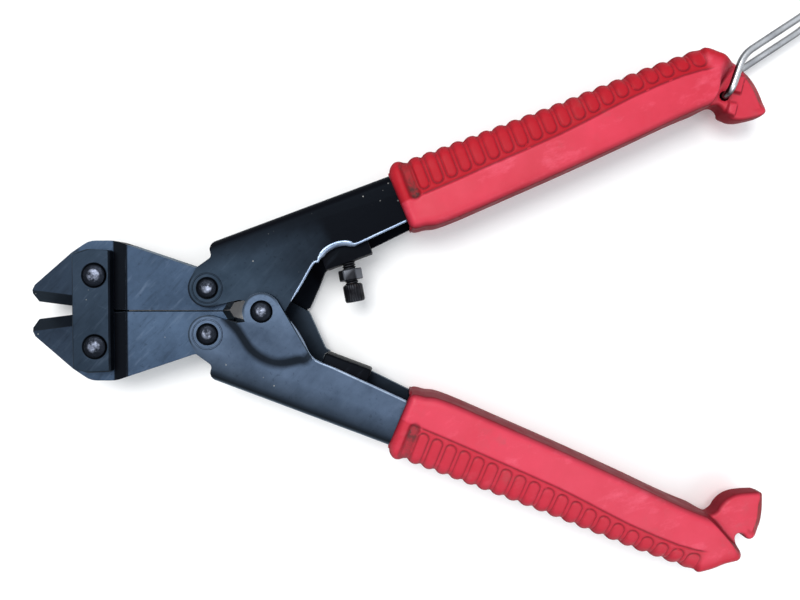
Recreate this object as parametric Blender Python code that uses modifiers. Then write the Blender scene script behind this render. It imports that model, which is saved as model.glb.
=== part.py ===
"""Small hand bolt cutters with a compound linkage, channel handles and a wire latch.

Millimetres are used in the named sizes; MM turns them into metres.  The origin is on the
centre pivot's axis, at the surface the cutters lie on.  The head points towards -X, the
handles towards +X, and +Z is up.  Both handles are one stamping and both jaws one forging:
the lower ones are the upper ones turned over about the X axis.
"""
import math

import bmesh
import bpy
from mathutils import Matrix, Vector

MM = 0.001
THROUGH = 20                # a cutter of this reach runs right through a piece
BEYOND = 40                 # and of this one past a piece's outline

# Layers, as heights from the middle plane
MIDDLE = 8.6                # the middle plane above the surface, half the grips' thickness
GAP = 0.3                   # running clearance between neighbours
SHEET = 1.8                 # handle sheet thickness
CHANNEL_HALF = 5.7          # outer face of a handle's flange
CHANNEL_INNER = CHANNEL_HALF - SHEET
EAR_TOP = CHANNEL_HALF + GAP + SHEET     # outer face of the joggled ear
JAW_HALF = 3.6              # jaw shank
NOSE_HALF = 3.1             # jaw under and in front of the side plates
PLATE_BOTTOM = NOSE_HALF + GAP
PLATE_TOP = PLATE_BOTTOM + 3.0
TONGUE_HALF = 4.4           # thin end of a grip

# Linkage, open
JAW_PIVOT = Vector((-46.8, 9.95, 0))     # upper jaw on the side plates
LINK_PIVOT = Vector((-15.6, 6.45, 0))    # upper jaw on the upper handle
HANDLE_ANGLE = math.radians(20.5)        # grip direction above the X axis

# Rivets: shank radius, flared head radius, clearance hole radius
JAW_RIVET = (2.6, 3.1, 2.9)
LINK_RIVET = (2.2, 2.7, 2.5)
CENTRE_RIVET = (2.2, 2.7, 2.55)
DOME = 0.6                  # dome above the face it closes on
DOME_ANGLES = (0, 25, 50, 70, 90)            # degrees from the axis
SINK_DEPTH = 0.9            # countersink
SINK_WIDTH = 0.45           # countersink radius outside the flared head

# Jaw outline, from the open position, about the centre pivot
NOSE = [(-65.7, 2.5), (-66.3, 4.9), (-65.2, 7.3)]
JAW_CREST = [(-54.6, 16.5, 4.0), (-49.6, 19.85, 6.0), (-42.4, 19.85, 9.0)]
JAW_BACK = (-20.0, 12.3)
JAW_TAIL_RADIUS = 5.7
JAW_TAIL_ARC = (75, -25)     # degrees round the link pivot
JAW_HEEL = [(-10.4, 2.4), (-11.8, 0.15)]
MOUTH_END = (-55.0, 1.15)
JAW_INNER = (-39.0, 0.25)
JAW_STEP_X = -39.3          # where the thicker shank starts
MOUTH_BEVEL = 3.3           # width of each ground bevel along the mouth
MOUTH_EDGE = 0.12           # half the flat left on the cutting edge
MOUTH_OVER = 1.5            # how far the bevel's cutter stands out
MOUTH_RUN_OUT, MOUTH_STOP = 5.0, -2.6    # past the nose, and on under the side plates
OUTER_CHAMFER = 0.7

# Side plate
PLATE_LEFT, PLATE_RIGHT = -53.1, -42.5
PLATE_PEAK = 0.4             # where a plate is tallest, from left to right
PLATE_ROUND = 0.35
PLATE_OUTLINE_Y = (16.0, 17.3, 17.0)     # half height at its left, middle and right

# Handle stamping, in the handle's own frame: centre pivot at 0, grip along +X
SPINE_Y = 23.4
BEND = 3.0                  # outside radius of the channel's bends
CHANNEL_LEFT = -8.0
CHANNEL_END = 128.0
BLANK_START, BLANK_OVER = -30.0, 10.0        # the channel before its outline is cut
CHANNEL_CORNER = [(3.0, 5.0), (2.4, 0.2), (1.4, -0.2), (0.6, -0.9), (0.1, -1.9), (0.0, -3.0)]
EAR_SHOULDER = [(CHANNEL_LEFT, 19.3, 1.3), (-13.2, 17.9, 1.5)]
LINK_EAR = 5.4
LINK_ARC = (130, 262)        # degrees round the link pivot
CENTRE_EAR = 5.3
CENTRE_ARC = (127, 275)      # degrees round the centre pivot, on the back
THROAT = [(-10.4, 6.0), (-5.2, 5.3)]     # edge between the two ears
THROAT_SLOPE = math.radians(38.5)        # front edge from the centre ear to the flange
FLANGE_START = (17.6, 7.6)
FLANGE_AT_GRIP = (46.0, 9.7)
BACK_THROAT = [(10.8, -3.5, 1.5), (19.2, 5.0, 2.0)]     # the back flange reaches further in
BACK_AT_GRIP = (46.0, 7.7)
FLANGE_END_Y = 13.0
SURPLUS_CORNER = (-1, -8)                    # what the front flange lacks against the back one
SURPLUS_END = 262            # degrees round the centre pivot
SCOOP = (25.2, 7.3, 5.8, 3.4)            # centre and half axes of the nut's access scoop
# The joggle's raised flat and its foot, point for point
JOGGLE_TOP = [(-9, -9), (-9.5, 1.5), (-4.1, 4.9), (0.9, 8.6), (5.0, 9.7), (9.0, 9.4),
              (12.5, 7.4), (14.4, 5.0), (15, -9)]
JOGGLE_FOOT = [(-12, -12), (-12, 4.5), (-5.3, 9.4), (0.2, 13.3), (5.9, 14.8), (10.5, 14.0),
               (15.2, 11.0), (19.0, 7.5), (19.5, -12)]
JOGGLE_INSET = 0.1          # the inner face's corners lie this share further in
JOGGLE_LEVELS = 5

# Grip, in the handle's frame
GRIP_HALF = MIDDLE
GRIP_FRONT = 46.4
GRIP_BEVEL = 2.0
COLLAR_TOP = [(49.6, 25.8), (GRIP_FRONT, 25.1, 1.2)]
COLLAR_BOTTOM = (GRIP_FRONT, 5.7, 1.5)
GRIP_INNER = [(79.0, 6.0), (104.0, 7.2), (121.0, 8.8), (132.0, 10.2)]
NECK = [(140.6, 10.2)]
TAB_UPPER = [(141.6, 7.6), (142.9, 5.8), (144.9, 4.3), (147.9, 3.5), (152.3, 2.6), (153.0, 3.9),
             (153.4, 7.0), (153.2, 11.0), (152.3, 15.2), (149.6, 19.4), (147.2, 20.8),
             (144.2, 22.7), (140.9, 25.2)]
TAB_LOWER = [(142.0, 7.4), (142.7, 5.2), (144.2, 3.2), (146.8, 1.3), (151.0, -1.2), (152.3, -0.7),
             (153.6, 3.2), (154.5, 7.0), (154.8, 9.6), (154.0, 12.2), (152.9, 12.9),
             (151.4, 12.3), (150.0, 12.0), (149.0, 12.4), (148.6, 13.4), (148.8, 14.9),
             (149.2, 16.4), (148.7, 17.4), (146.1, 20.6), (143.3, 23.7), (140.9, 25.3)]
TABS = {"upper": TAB_UPPER, "lower": TAB_LOWER}   # round the tongue; the lower one has the notch
SCALLOPS = 20
SCALLOP_FIRST, SCALLOP_LAST = 52.2, 138.6
SCALLOP_BASE = (24.7, 25.7)              # valley height at the front and at the back
SCALLOP_RISE = 0.75
SCALLOP_GROWTH = 0.10                    # the pitch grows by this share over the row
TONGUE_FAR = [(165, 30), (165, -10), (136, -10)]          # round the thin end
SHOULDER = [(137.4, 8.0), (141.8, 15.0), (144.2, 18.2), (146.2, 19.8), (149.5, 24.0)]
POCKET_GAP = 0.3
POCKET_RUN_OUT = 5           # the pocket's cutter starts this far before the mouth

# Latch: a wire loop through the upper grip's end, hooked in the lower grip's notch
LATCH_HOLE = Vector((142.5, 11.5, 0))
WIRE = 1.0                  # wire radius
HOLE_RADIUS = 1.4
LATCH_LEG = 6.0             # height of a leg's centre line
LATCH_FIRST = (10.4, math.radians(67.5)) # length and direction of the legs up to the bend
LATCH_SECOND = (37.0, math.radians(33.4))
LATCH_SKEW = {1: 1.0, -1: -2.3}          # how far the front and back legs lean out of line
LATCH_STRAIGHT = 0.7        # share of the outer run before the legs close in on the bar
LATCH_CORNER = 3.0

# Stop: screw, nut and the blocks it works on, in the upper handle's frame
SCREW_POINT = Vector((26.1, 1.35, 0))
SCREW_LEAN = math.radians(10.0)
STOP_FACE = 4.7             # inner face of the upper block
ANVIL_FACE = 5.1            # inner face of the lower block
BLOCK = (20.2, 34.2, 12.5)  # left, right and outer end of a block
THREAD, THREAD_LENGTH = 2.0, 15.0
SCREW_HEAD = (2.85, 5.2)
SCREW_TIP = 8.0              # the head's end, along the screw from SCREW_POINT
HEAD_ROUND = [(0.8, 0), (0.2, 0.3), (0, 0.9)]             # inwards and down from the head's corner
EDGE_ROUND = 0.5             # rounding of the blocks, the head and the thread's end
NUT = (3.05, 3.2)           # half width across flats and height
NUT_ROUND = 0.3
NUT_TOP = 1.7               # along the screw from SCREW_POINT

STEEL = ("black_oxide_steel", (0.018, 0.022, 0.030, 1), 0.36, 0.75)
PAINT = ("black_painted_steel", (0.012, 0.013, 0.018, 1), 0.28, 0.45)
RIVET = ("rivet_steel", (0.035, 0.040, 0.052, 1), 0.32, 0.85)
SCREW = ("screw_steel", (0.030, 0.031, 0.034, 1), 0.42, 0.8)
VINYL = ("red_vinyl", (0.56, 0.025, 0.055, 1), 0.52, 0.0)
ZINC = ("bright_zinc_wire", (0.62, 0.61, 0.59, 1), 0.2, 1.0)


def clear_scene():
    """Start from an empty scene."""
    for obj in list(bpy.data.objects):
        bpy.data.objects.remove(obj, do_unlink=True)


def new_collection(name):
    group = bpy.data.collections.new(name)
    bpy.context.scene.collection.children.link(group)
    return group


def material(spec):
    """The Principled material that a (name, colour, roughness, metallic) row describes."""
    name, colour, roughness, metallic = spec
    found = bpy.data.materials.get(name)
    if found:
        return found
    made = bpy.data.materials.new(name)
    made.use_nodes = True
    shader = made.node_tree.nodes["Principled BSDF"]
    shader.inputs["Base Color"].default_value = colour
    shader.inputs["Roughness"].default_value = roughness
    shader.inputs["Metallic"].default_value = metallic
    made.diffuse_color = colour
    return made


def as_object(name, mesh, group):
    obj = bpy.data.objects.new(name, mesh)
    group.objects.link(obj)
    return obj


def finish_part(obj, spec, place, smooth=None):
    """Give a piece its material and its place; smooth is the angle below which edges blend."""
    obj.data.materials.clear()
    obj.data.materials.append(material(spec))
    obj.matrix_world = place @ obj.matrix_world
    if smooth:
        obj.data.shade_smooth()
        obj.data.set_sharp_from_angle(angle=math.radians(smooth))
    return obj


def set_aside(obj):
    """Make an object a hidden cutter."""
    obj.hide_render = True
    obj.display_type = "WIRE"
    return obj


def baked(obj, group):
    """The object with its curve or modifiers turned into a plain welded mesh."""
    bpy.context.view_layer.update()
    graph = bpy.context.evaluated_depsgraph_get()
    mesh = bpy.data.meshes.new_from_object(obj.evaluated_get(graph))
    work = bmesh.new()
    work.from_mesh(mesh)
    bmesh.ops.remove_doubles(work, verts=work.verts, dist=0.00001)
    work.to_mesh(mesh)
    work.free()
    made = as_object(obj.name, mesh, group)
    made.matrix_world = obj.matrix_world
    name = obj.name
    bpy.data.objects.remove(obj, do_unlink=True)
    made.name = name
    return made


def prism(name, outline, low, high, group):
    """A flat outline in millimetres, filled between two heights."""
    curve = bpy.data.curves.new(name, "CURVE")
    curve.dimensions = "2D"
    curve.fill_mode = "BOTH"
    curve.extrude = (high - low) / 2 * MM
    spline = curve.splines.new("POLY")
    spline.points.add(len(outline) - 1)
    for point, place in zip(spline.points, outline):
        point.co = (place[0] * MM, place[1] * MM, 0, 1)
    spline.use_cyclic_u = True
    obj = as_object(name, curve, group)
    obj.location.z = (low + high) / 2 * MM
    return baked(obj, group)


def inset(outline, depth, reach=2):
    """A counter-clockwise or clockwise outline with each point moved inwards, ridges kept."""
    count = len(outline)
    area = sum(outline[i - 1][0] * outline[i][1] - outline[i][0] * outline[i - 1][1]
               for i in range(count))
    moved = []
    for i, spot in enumerate(outline):
        along = (Vector(outline[(i + reach) % count]) - Vector(outline[i - reach])).normalized()
        inward = Vector((-along.y, along.x)) * math.copysign(depth, area)
        moved.append(tuple(Vector(spot) + inward))
    return moved


def loft(name, rings, group):
    """A solid through rings of equally many points, each ring an outline and its height."""
    return skin(name, [[(x, y, height) for x, y in outline] for outline, height in rings], group)


def skin(name, rings, group):
    """A solid through rings of equally many points in space."""
    work = bmesh.new()
    levels = [[work.verts.new(Vector(spot) * MM) for spot in ring] for ring in rings]
    count = len(levels[0])
    for lower, upper in zip(levels, levels[1:]):
        for i in range(count):
            j = (i + 1) % count
            work.faces.new((lower[i], lower[j], upper[j], upper[i]))
    work.faces.new(levels[0][::-1])
    work.faces.new(levels[-1])
    bmesh.ops.recalc_face_normals(work, faces=work.faces)
    mesh = bpy.data.meshes.new(name)
    work.to_mesh(mesh)
    work.free()
    return as_object(name, mesh, group)


def turned(name, profile, group, steps=32):
    """A solid of revolution about Z from (radius, height) points, top to bottom."""
    mesh = bpy.data.meshes.new(name)
    points = [(radius * MM, 0, height * MM) for radius, height in profile]
    mesh.from_pydata(points, [(i, i + 1) for i in range(len(points) - 1)], [])
    obj = as_object(name, mesh, group)
    screw = obj.modifiers.new("turn", "SCREW")
    screw.steps = screw.render_steps = steps
    screw.use_merge_vertices = True
    screw.merge_threshold = 0.00001
    return obj


def boolean(obj, other, operation="DIFFERENCE"):
    """Cut, join or intersect obj with other, which becomes a hidden cutter."""
    change = obj.modifiers.new(operation.lower(), "BOOLEAN")
    change.operation = operation
    change.solver = "EXACT"
    change.object = set_aside(other)
    return obj


def round_edges(obj, width, segments=2, angle=40):
    """Round the edges sharper than an angle."""
    bevel = obj.modifiers.new("round", "BEVEL")
    bevel.width = width * MM
    bevel.segments = segments
    bevel.limit_method = "ANGLE"
    bevel.angle_limit = math.radians(angle)
    return obj


def arc(centre, radius, start, end, steps=10):
    """Points of an arc, with its angles in degrees."""
    angles = [math.radians(start + (end - start) * i / steps) for i in range(steps + 1)]
    return [(centre[0] + radius * math.cos(a), centre[1] + radius * math.sin(a)) for a in angles]


def fillet(corners, steps=4):
    """A closed outline whose corners (x, y, radius) are rounded; no radius leaves a corner."""
    outline = []
    for i, corner in enumerate(corners):
        here = Vector(corner[:2])
        radius = corner[2] if len(corner) > 2 else 0
        if not radius:
            outline.append(tuple(here))
            continue
        back = (Vector(corners[i - 1][:2]) - here).normalized()
        on = (Vector(corners[(i + 1) % len(corners)][:2]) - here).normalized()
        half = back.angle(on) / 2
        centre = here + (back + on).normalized() * radius / math.sin(half)
        first = here + back * radius / math.tan(half) - centre
        last = here + on * radius / math.tan(half) - centre
        turn = first.angle_signed(last)
        outline += [tuple(centre + Matrix.Rotation(-turn * k / steps, 2) @ first)
                    for k in range(steps + 1)]
    return outline


def rod(name, radius, low, high, group, spot=(0, 0), top_radius=None, sides=32):
    """A cylinder or cone along Z."""
    top_radius = radius if top_radius is None else top_radius
    work = bmesh.new()
    bmesh.ops.create_cone(work, cap_ends=True, segments=sides, radius1=radius * MM,
                          radius2=top_radius * MM, depth=(high - low) * MM)
    centre = Vector((spot[0], spot[1], (low + high) / 2)) * MM
    bmesh.ops.translate(work, verts=work.verts, vec=centre)
    mesh = bpy.data.meshes.new(name)
    work.to_mesh(mesh)
    work.free()
    return as_object(name, mesh, group)


def box(name, low, high, group):
    """A box between two corners."""
    work = bmesh.new()
    bmesh.ops.create_cube(work, size=1)
    size = Vector(high) - Vector(low)
    bmesh.ops.scale(work, verts=work.verts, vec=size * MM)
    bmesh.ops.translate(work, verts=work.verts, vec=(Vector(low) + Vector(high)) / 2 * MM)
    mesh = bpy.data.meshes.new(name)
    work.to_mesh(mesh)
    work.free()
    return as_object(name, mesh, group)


def turn_over():
    """The half turn that makes a lower piece of an upper one."""
    return Matrix.Rotation(math.pi, 4, "X")


def lift():
    return Matrix.Translation((0, 0, MIDDLE * MM))


def axis_empty(name, spot, group):
    """An empty on a joint's axis, given by its place in the middle plane."""
    empty = bpy.data.objects.new(name, None)
    empty.location = (spot[0] * MM, spot[1] * MM, MIDDLE * MM)
    group.objects.link(empty)
    bpy.context.view_layer.update()
    return empty


def hang(obj, empty):
    """Parent a placed piece to its joint's empty without moving it."""
    obj.parent = empty
    obj.matrix_parent_inverse = empty.matrix_world.inverted()
    return obj


def place_cutters(name, cutters, place):
    """Put a piece's own cutters where the piece stands."""
    for cutter in cutters.objects:
        if cutter.name.startswith(f"{name}_"):
            cutter.matrix_world = place @ cutter.matrix_world


def countersink(obj, rivet, faces, spot, group):
    """Sink the hole's rim in each outer face, so that the rivet's head has a dark ring."""
    narrow = rivet[2] - 0.1
    slope = (rivet[1] + SINK_WIDTH - narrow) / SINK_DEPTH
    over = 0.5
    wide = rivet[1] + SINK_WIDTH + slope * over
    for face in faces:
        if face > 0:
            low, high, foot, rim = face - SINK_DEPTH, face + over, narrow, wide
        else:
            low, high, foot, rim = face - over, face + SINK_DEPTH, wide, narrow
        cone = rod(f"{obj.name}_sink", foot, low, high, group, spot, top_radius=rim)
        boolean(obj, cone)


def jaw_outline():
    """The upper jaw's outline about its own pivot."""
    tail = LINK_PIVOT
    points = NOSE[:-1] + fillet([NOSE[-1]] + JAW_CREST + [JAW_BACK])
    points += arc(tail, JAW_TAIL_RADIUS, *JAW_TAIL_ARC, 8)
    points += JAW_HEEL + [JAW_INNER, MOUTH_END]
    return [(x - JAW_PIVOT.x, y - JAW_PIVOT.y) for x, y in points]


def mouth_cutter(name, side, group):
    """A wedge that grinds one bevel of the mouth, from the face down to the edge."""
    start = Vector(NOSE[0]) - JAW_PIVOT.xy
    end = Vector(MOUTH_END) - JAW_PIVOT.xy
    along = (start - end).normalized()
    across = Vector((-along.y, along.x)) * math.copysign(1, along.x)
    slope = (NOSE_HALF - MOUTH_EDGE) / MOUTH_BEVEL
    beyond = MOUTH_OVER * slope
    section = [(-MOUTH_OVER, MOUTH_EDGE - beyond), (MOUTH_BEVEL + MOUTH_OVER, NOSE_HALF + beyond),
               (-MOUTH_OVER, NOSE_HALF + beyond)]
    rings = []
    for spot in (start + along * MOUTH_RUN_OUT, end + along * MOUTH_STOP):
        ring = []
        for shift, height in section:
            place = spot + across * shift
            ring.append((place.x, place.y, height * side))
        rings.append(ring)
    return skin(name, rings, group)


def make_jaw(name, place, parts, cutters):
    """A forged jaw: thin stepped head with a bevelled mouth, thick shank with a round tail."""
    jaw = prism(name, jaw_outline(), -JAW_HALF, JAW_HALF, parts)
    round_edges(jaw, OUTER_CHAMFER, 1, 60)
    jaw = baked(jaw, parts)
    step = JAW_STEP_X - JAW_PIVOT.x
    for side in (1, -1):
        low, high = sorted((NOSE_HALF * side, (JAW_HALF + 1) * side))
        boolean(jaw, box(f"{name}_step", (-BEYOND, -BEYOND, low), (step, BEYOND, high), cutters))
        boolean(jaw, mouth_cutter(f"{name}_mouth", side, cutters))
    link = LINK_PIVOT - JAW_PIVOT
    boolean(jaw, rod(f"{name}_pivot_hole", JAW_RIVET[2], -THROUGH, THROUGH, cutters))
    boolean(jaw, rod(f"{name}_link_hole", LINK_RIVET[2], -THROUGH, THROUGH, cutters, link.xy))
    place_cutters(name, cutters, place)
    return finish_part(jaw, STEEL, place)


def make_side_plate(name, side, parts, cutters):
    """A flat plate that carries both jaws, with its ends slightly pointed."""
    middle = PLATE_LEFT + (PLATE_RIGHT - PLATE_LEFT) * PLATE_PEAK
    left, centre, right = PLATE_OUTLINE_Y
    top = [(PLATE_LEFT, left), (middle, centre), (PLATE_RIGHT, right)]
    outline = top + [(x, -y) for x, y in reversed(top)]
    low, high = sorted((PLATE_BOTTOM * side, PLATE_TOP * side))
    plate = prism(name, outline, low, high, parts)
    round_edges(plate, PLATE_ROUND, 1, 30)
    plate = baked(plate, parts)
    for end in (1, -1):
        spot = (JAW_PIVOT.x, JAW_PIVOT.y * end)
        boolean(plate, rod(f"{name}_hole", JAW_RIVET[2], -THROUGH, THROUGH, cutters, spot))
        countersink(plate, JAW_RIVET, (PLATE_TOP * side,), spot, cutters)
    place_cutters(name, cutters, lift())
    return finish_part(plate, STEEL, lift())


def make_rivet(name, sizes, face, spot, parts, back=None):
    """A rivet closed on both sides; back gives a flat far end instead of a dome."""
    shank, head, _ = sizes
    neck = face - SINK_DEPTH
    profile = [(head * math.sin(math.radians(a)), face + DOME * math.cos(math.radians(a)))
               for a in DOME_ANGLES]
    profile += [(shank, neck)]
    if back is None:
        profile += [(r, -z) for r, z in reversed(profile)]
    else:
        profile += [(shank, -neck), (head, -face), (head, -back + GAP), (head - GAP, -back),
                    (0, -back)]
    rivet = turned(name, profile, parts)
    place = Matrix.Translation((spot[0] * MM, spot[1] * MM, MIDDLE * MM))
    return finish_part(rivet, RIVET, place, 40)


def channel_section():
    """The handle's U section, spine up, as (y, z) points about the spine's outer face."""
    depth = -BEYOND
    outer = arc((-BEND, CHANNEL_HALF - BEND), BEND, 90, 0, 8)
    bend = BEND - SHEET
    inner = arc((-BEND, CHANNEL_INNER - bend), bend, 0, 90, 5)
    right = [(depth, CHANNEL_HALF)] + outer
    left_inner = [(y, -z) for y, z in inner[::-1]]
    return (right + [(y, -z) for y, z in right[::-1]]
            + [(depth, -CHANNEL_INNER)] + left_inner + inner + [(depth, CHANNEL_INNER)])


def handle_outline(front):
    """The blank's outline: two ears, the throat between them, and the long flange."""
    link = handle_frame(LINK_PIVOT)
    ear = arc(link, LINK_EAR, *LINK_ARC, 12)
    slope = math.degrees(THROAT_SLOPE)
    corner = [(CHANNEL_LEFT + x, SPINE_Y + y) for x, y in CHANNEL_CORNER]
    head = corner + fillet([corner[-1]] + EAR_SHOULDER + [ear[0]])[1:]
    tail = [(CHANNEL_END, FLANGE_END_Y), (CHANNEL_END, SPINE_Y + 5)]
    if front:
        centre = arc((0, 0), CENTRE_EAR, CENTRE_ARC[0], 270 + slope, 16)
        inner = [FLANGE_START, FLANGE_AT_GRIP]
    else:
        centre = arc((0, 0), CENTRE_EAR, *CENTRE_ARC, 14)
        inner = fillet([centre[-1]] + BACK_THROAT + [BACK_AT_GRIP])[1:]
    return head + ear[1:] + THROAT + centre + inner + tail


def handle_frame(point):
    """A point in the upper handle's frame, from one in the open cutters."""
    return Matrix.Rotation(-HANDLE_ANGLE, 3, "Z") @ Vector(point)


def shifted(outline, other, share):
    """Each point moved away from its partner by a share of their distance."""
    return [(x + (x - u) * share, y + (y - v) * share) for (x, y), (u, v) in zip(outline, other)]


def smoothed(points, steps=3):
    """A closed outline led through the points as a smooth curve."""
    outline = []
    count = len(points)
    for i in range(count):
        a, b, c, d = (Vector(points[(i + k) % count]) for k in (-1, 0, 1, 2))
        for k in range(steps):
            t = k / steps
            outline.append(tuple((b * 2 + (c - a) * t + (a * 2 - b * 5 + c * 4 - d) * t * t
                                  + (b * 3 - a - c * 3 + d) * t ** 3) / 2))
    return outline


def joggle(foot, top, low, high):
    """The rings of a pressed step with rounded brims, from inside the sheet up to the flat."""
    foot, top = smoothed(foot), smoothed(top)
    rings = [(foot, low + SHEET)]
    for k in range(JOGGLE_LEVELS + 1):
        t = k / JOGGLE_LEVELS
        outline = [(u + (x - u) * t, v + (y - v) * t) for (x, y), (u, v) in zip(top, foot)]
        rings.append((outline, low + (high - low) * t * t * (3 - 2 * t)))
    return rings


def make_handle(name, place, parts, cutters, front):
    """A stamped channel with a plain ear on one side and a joggled ear on the other."""
    section = [(y + SPINE_Y, z) for y, z in channel_section()]
    blank = prism(name, section, BLANK_START, CHANNEL_END + BLANK_OVER, parts)
    # The section lies in XY with the run along Z: stand it up along X
    stand = Matrix(((0, 0, 1, 0), (1, 0, 0, 0), (0, 1, 0, 0), (0, 0, 0, 1)))
    blank.data.transform(stand @ blank.matrix_world)
    blank.matrix_world = Matrix.Identity(4)
    inner_top = shifted(JOGGLE_TOP, JOGGLE_FOOT, JOGGLE_INSET)
    inner_foot = shifted(JOGGLE_FOOT, JOGGLE_TOP, -JOGGLE_INSET)
    outer = loft(f"{name}_joggle", joggle(JOGGLE_FOOT, JOGGLE_TOP, -CHANNEL_HALF, -EAR_TOP), cutters)
    inner = loft(f"{name}_relief", joggle(inner_foot, inner_top, -CHANNEL_INNER, -EAR_TOP + SHEET),
                 cutters)
    boolean(blank, outer, "UNION")
    boolean(blank, inner)
    boolean(blank, prism(f"{name}_outline", handle_outline(False), -THROUGH, THROUGH, cutters), "INTERSECT")
    left, foot = SURPLUS_CORNER
    right, top = FLANGE_AT_GRIP
    surplus = [(left, foot), (right + 1, foot), (right + 1, top), FLANGE_AT_GRIP, FLANGE_START]
    surplus += arc((0, 0), CENTRE_EAR, 270 + math.degrees(THROAT_SLOPE), SURPLUS_END, 8)
    low, high = sorted((0, THROUGH * front))
    boolean(blank, prism(f"{name}_surplus", surplus, low, high, cutters))
    scoop = [(SCOOP[0] + SCOOP[2] * math.cos(a), SCOOP[1] + SCOOP[3] * math.sin(a))
             for a in (math.tau * i / 24 for i in range(24))]
    boolean(blank, prism(f"{name}_scoop", scoop, 0, THROUGH, cutters))
    link = handle_frame(LINK_PIVOT)
    boolean(blank, rod(f"{name}_link_hole", LINK_RIVET[2], -THROUGH, THROUGH, cutters, link.xy))
    boolean(blank, rod(f"{name}_centre_hole", CENTRE_RIVET[2], -THROUGH, THROUGH, cutters))
    countersink(blank, LINK_RIVET, (CHANNEL_HALF, -CHANNEL_HALF), link.xy, cutters)
    countersink(blank, CENTRE_RIVET, (-EAR_TOP,), (0, 0), cutters)
    place_cutters(name, cutters, place)
    return finish_part(blank, PAINT, place, 30)


def scallop_row():
    """The outer edge's ridges, from the back end to the collar."""
    points = []
    steps = 4
    for i in range(SCALLOPS * steps, -1, -1):
        share = i / (SCALLOPS * steps)
        run = share * (1 - SCALLOP_GROWTH / 2) + share ** 2 * SCALLOP_GROWTH / 2
        x = SCALLOP_FIRST + (SCALLOP_LAST - SCALLOP_FIRST) * run
        base = SCALLOP_BASE[0] + (SCALLOP_BASE[1] - SCALLOP_BASE[0]) * share
        points.append((x, base + SCALLOP_RISE * abs(math.sin(math.pi * share * SCALLOPS))))
    return points


def grip_outline(half):
    """The grip seen from the front, from the outer edge's ridges round to the tab."""
    lower = fillet([COLLAR_TOP[1], COLLAR_BOTTOM] + GRIP_INNER + NECK)
    return scallop_row() + [COLLAR_TOP[0]] + lower + TABS[half]


def make_grip(half, place, parts, cutters):
    """A moulded sleeve over the channel, with a thin tongue at its far end."""
    name = f"{half}_grip"
    outline = grip_outline(half)
    round_in = GRIP_BEVEL * (1 - math.sqrt(0.5))
    rim = [(GRIP_BEVEL, GRIP_HALF), (round_in, GRIP_HALF - round_in), (0, GRIP_HALF - GRIP_BEVEL)]
    rings = [(inset(outline, depth), -height) for depth, height in rim]
    rings += [(inset(outline, depth), height) for depth, height in reversed(rim)]
    grip = loft(name, rings, parts)
    front, back = GRIP_FRONT - POCKET_RUN_OUT, CHANNEL_END + POCKET_GAP
    top, foot = SPINE_Y + POCKET_GAP, BACK_AT_GRIP[1] - 2 * POCKET_GAP
    pocket = [(front, top), (back, top), (back, FLANGE_END_Y - POCKET_GAP), (front, foot)]
    depth = CHANNEL_HALF + POCKET_GAP
    boolean(grip, prism(f"{name}_pocket", pocket, -depth, depth, cutters))
    tongue = SHOULDER + TONGUE_FAR
    for side in (1, -1):
        low, high = sorted((TONGUE_HALF * side, (GRIP_HALF + 2) * side))
        boolean(grip, prism(f"{name}_tongue", tongue, low, high, cutters))
    if half == "upper":
        boolean(grip, rod(f"{name}_hole", HOLE_RADIUS, -THROUGH, THROUGH, cutters, LATCH_HOLE.xy, sides=20))
    place_cutters(name, cutters, place)
    return finish_part(grip, VINYL, place, 40)


def stop_axis(place):
    """The stop screw's frame: Z runs out of the block towards the other handle."""
    lean = Matrix.Rotation(-math.pi / 2 - SCREW_LEAN, 4, "Z")
    stand = Matrix.Rotation(math.pi / 2, 4, "Y")
    return place @ Matrix.Translation(SCREW_POINT * MM) @ lean @ stand


def make_block(name, place, face, parts, cutters, screw=None):
    """A block between the flanges, bored for the stop screw or plain as its anvil."""
    left, right, outer = BLOCK
    half = CHANNEL_INNER - GAP
    block = box(name, (left, face, -half), (right, outer, half), parts)
    round_edges(block, EDGE_ROUND)
    block = baked(block, parts)
    if screw is not None:
        bore = rod(f"{name}_bore", THREAD + GAP, -THROUGH, THROUGH, cutters)
        bore.matrix_world = place.inverted() @ screw
        boolean(block, bore)
    place_cutters(name, cutters, place)
    return finish_part(block, PAINT, place, 40)


def make_stop_screw(name, place, parts):
    """A round-headed screw, its head outwards."""
    radius, height = SCREW_HEAD
    neck = SCREW_TIP - height
    end = neck - THREAD_LENGTH
    profile = [(0, SCREW_TIP)] + [(radius - away, SCREW_TIP - down) for away, down in HEAD_ROUND]
    profile += [(radius, neck + EDGE_ROUND), (radius - EDGE_ROUND, neck), (THREAD, neck),
                (THREAD, end + EDGE_ROUND), (THREAD - EDGE_ROUND, end), (0, end)]
    screw = turned(name, profile, parts, 24)
    return finish_part(screw, SCREW, place, 40)


def make_lock_nut(name, place, parts, cutters):
    """A hexagonal nut on the stop screw."""
    across, height = NUT
    nut = rod(name, across / math.cos(math.pi / 6), NUT_TOP - height, NUT_TOP, parts, sides=6)
    round_edges(nut, NUT_ROUND, 1)
    nut = baked(nut, parts)
    bore = rod(f"{name}_bore", THREAD + GAP, -THROUGH, THROUGH, cutters)
    boolean(nut, bore)
    bore.matrix_world = place @ bore.matrix_world
    return finish_part(nut, SCREW, place, 40)


def direction(angle):
    return Vector((math.cos(angle), math.sin(angle), 0))


def rounded_path(corners, radius, steps=5):
    """A closed path through corners in space, each rounded by an arc-like curve."""
    path = []
    for i, here in enumerate(corners):
        back = (corners[i - 1] - here)
        on = (corners[(i + 1) % len(corners)] - here)
        cut = min(radius, back.length * 0.45, on.length * 0.45)
        first, last = here + back.normalized() * cut, here + on.normalized() * cut
        for k in range(steps + 1):
            t = k / steps
            path.append(first * (1 - t) ** 2 + here * 2 * t * (1 - t) + last * t ** 2)
    return path


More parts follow.
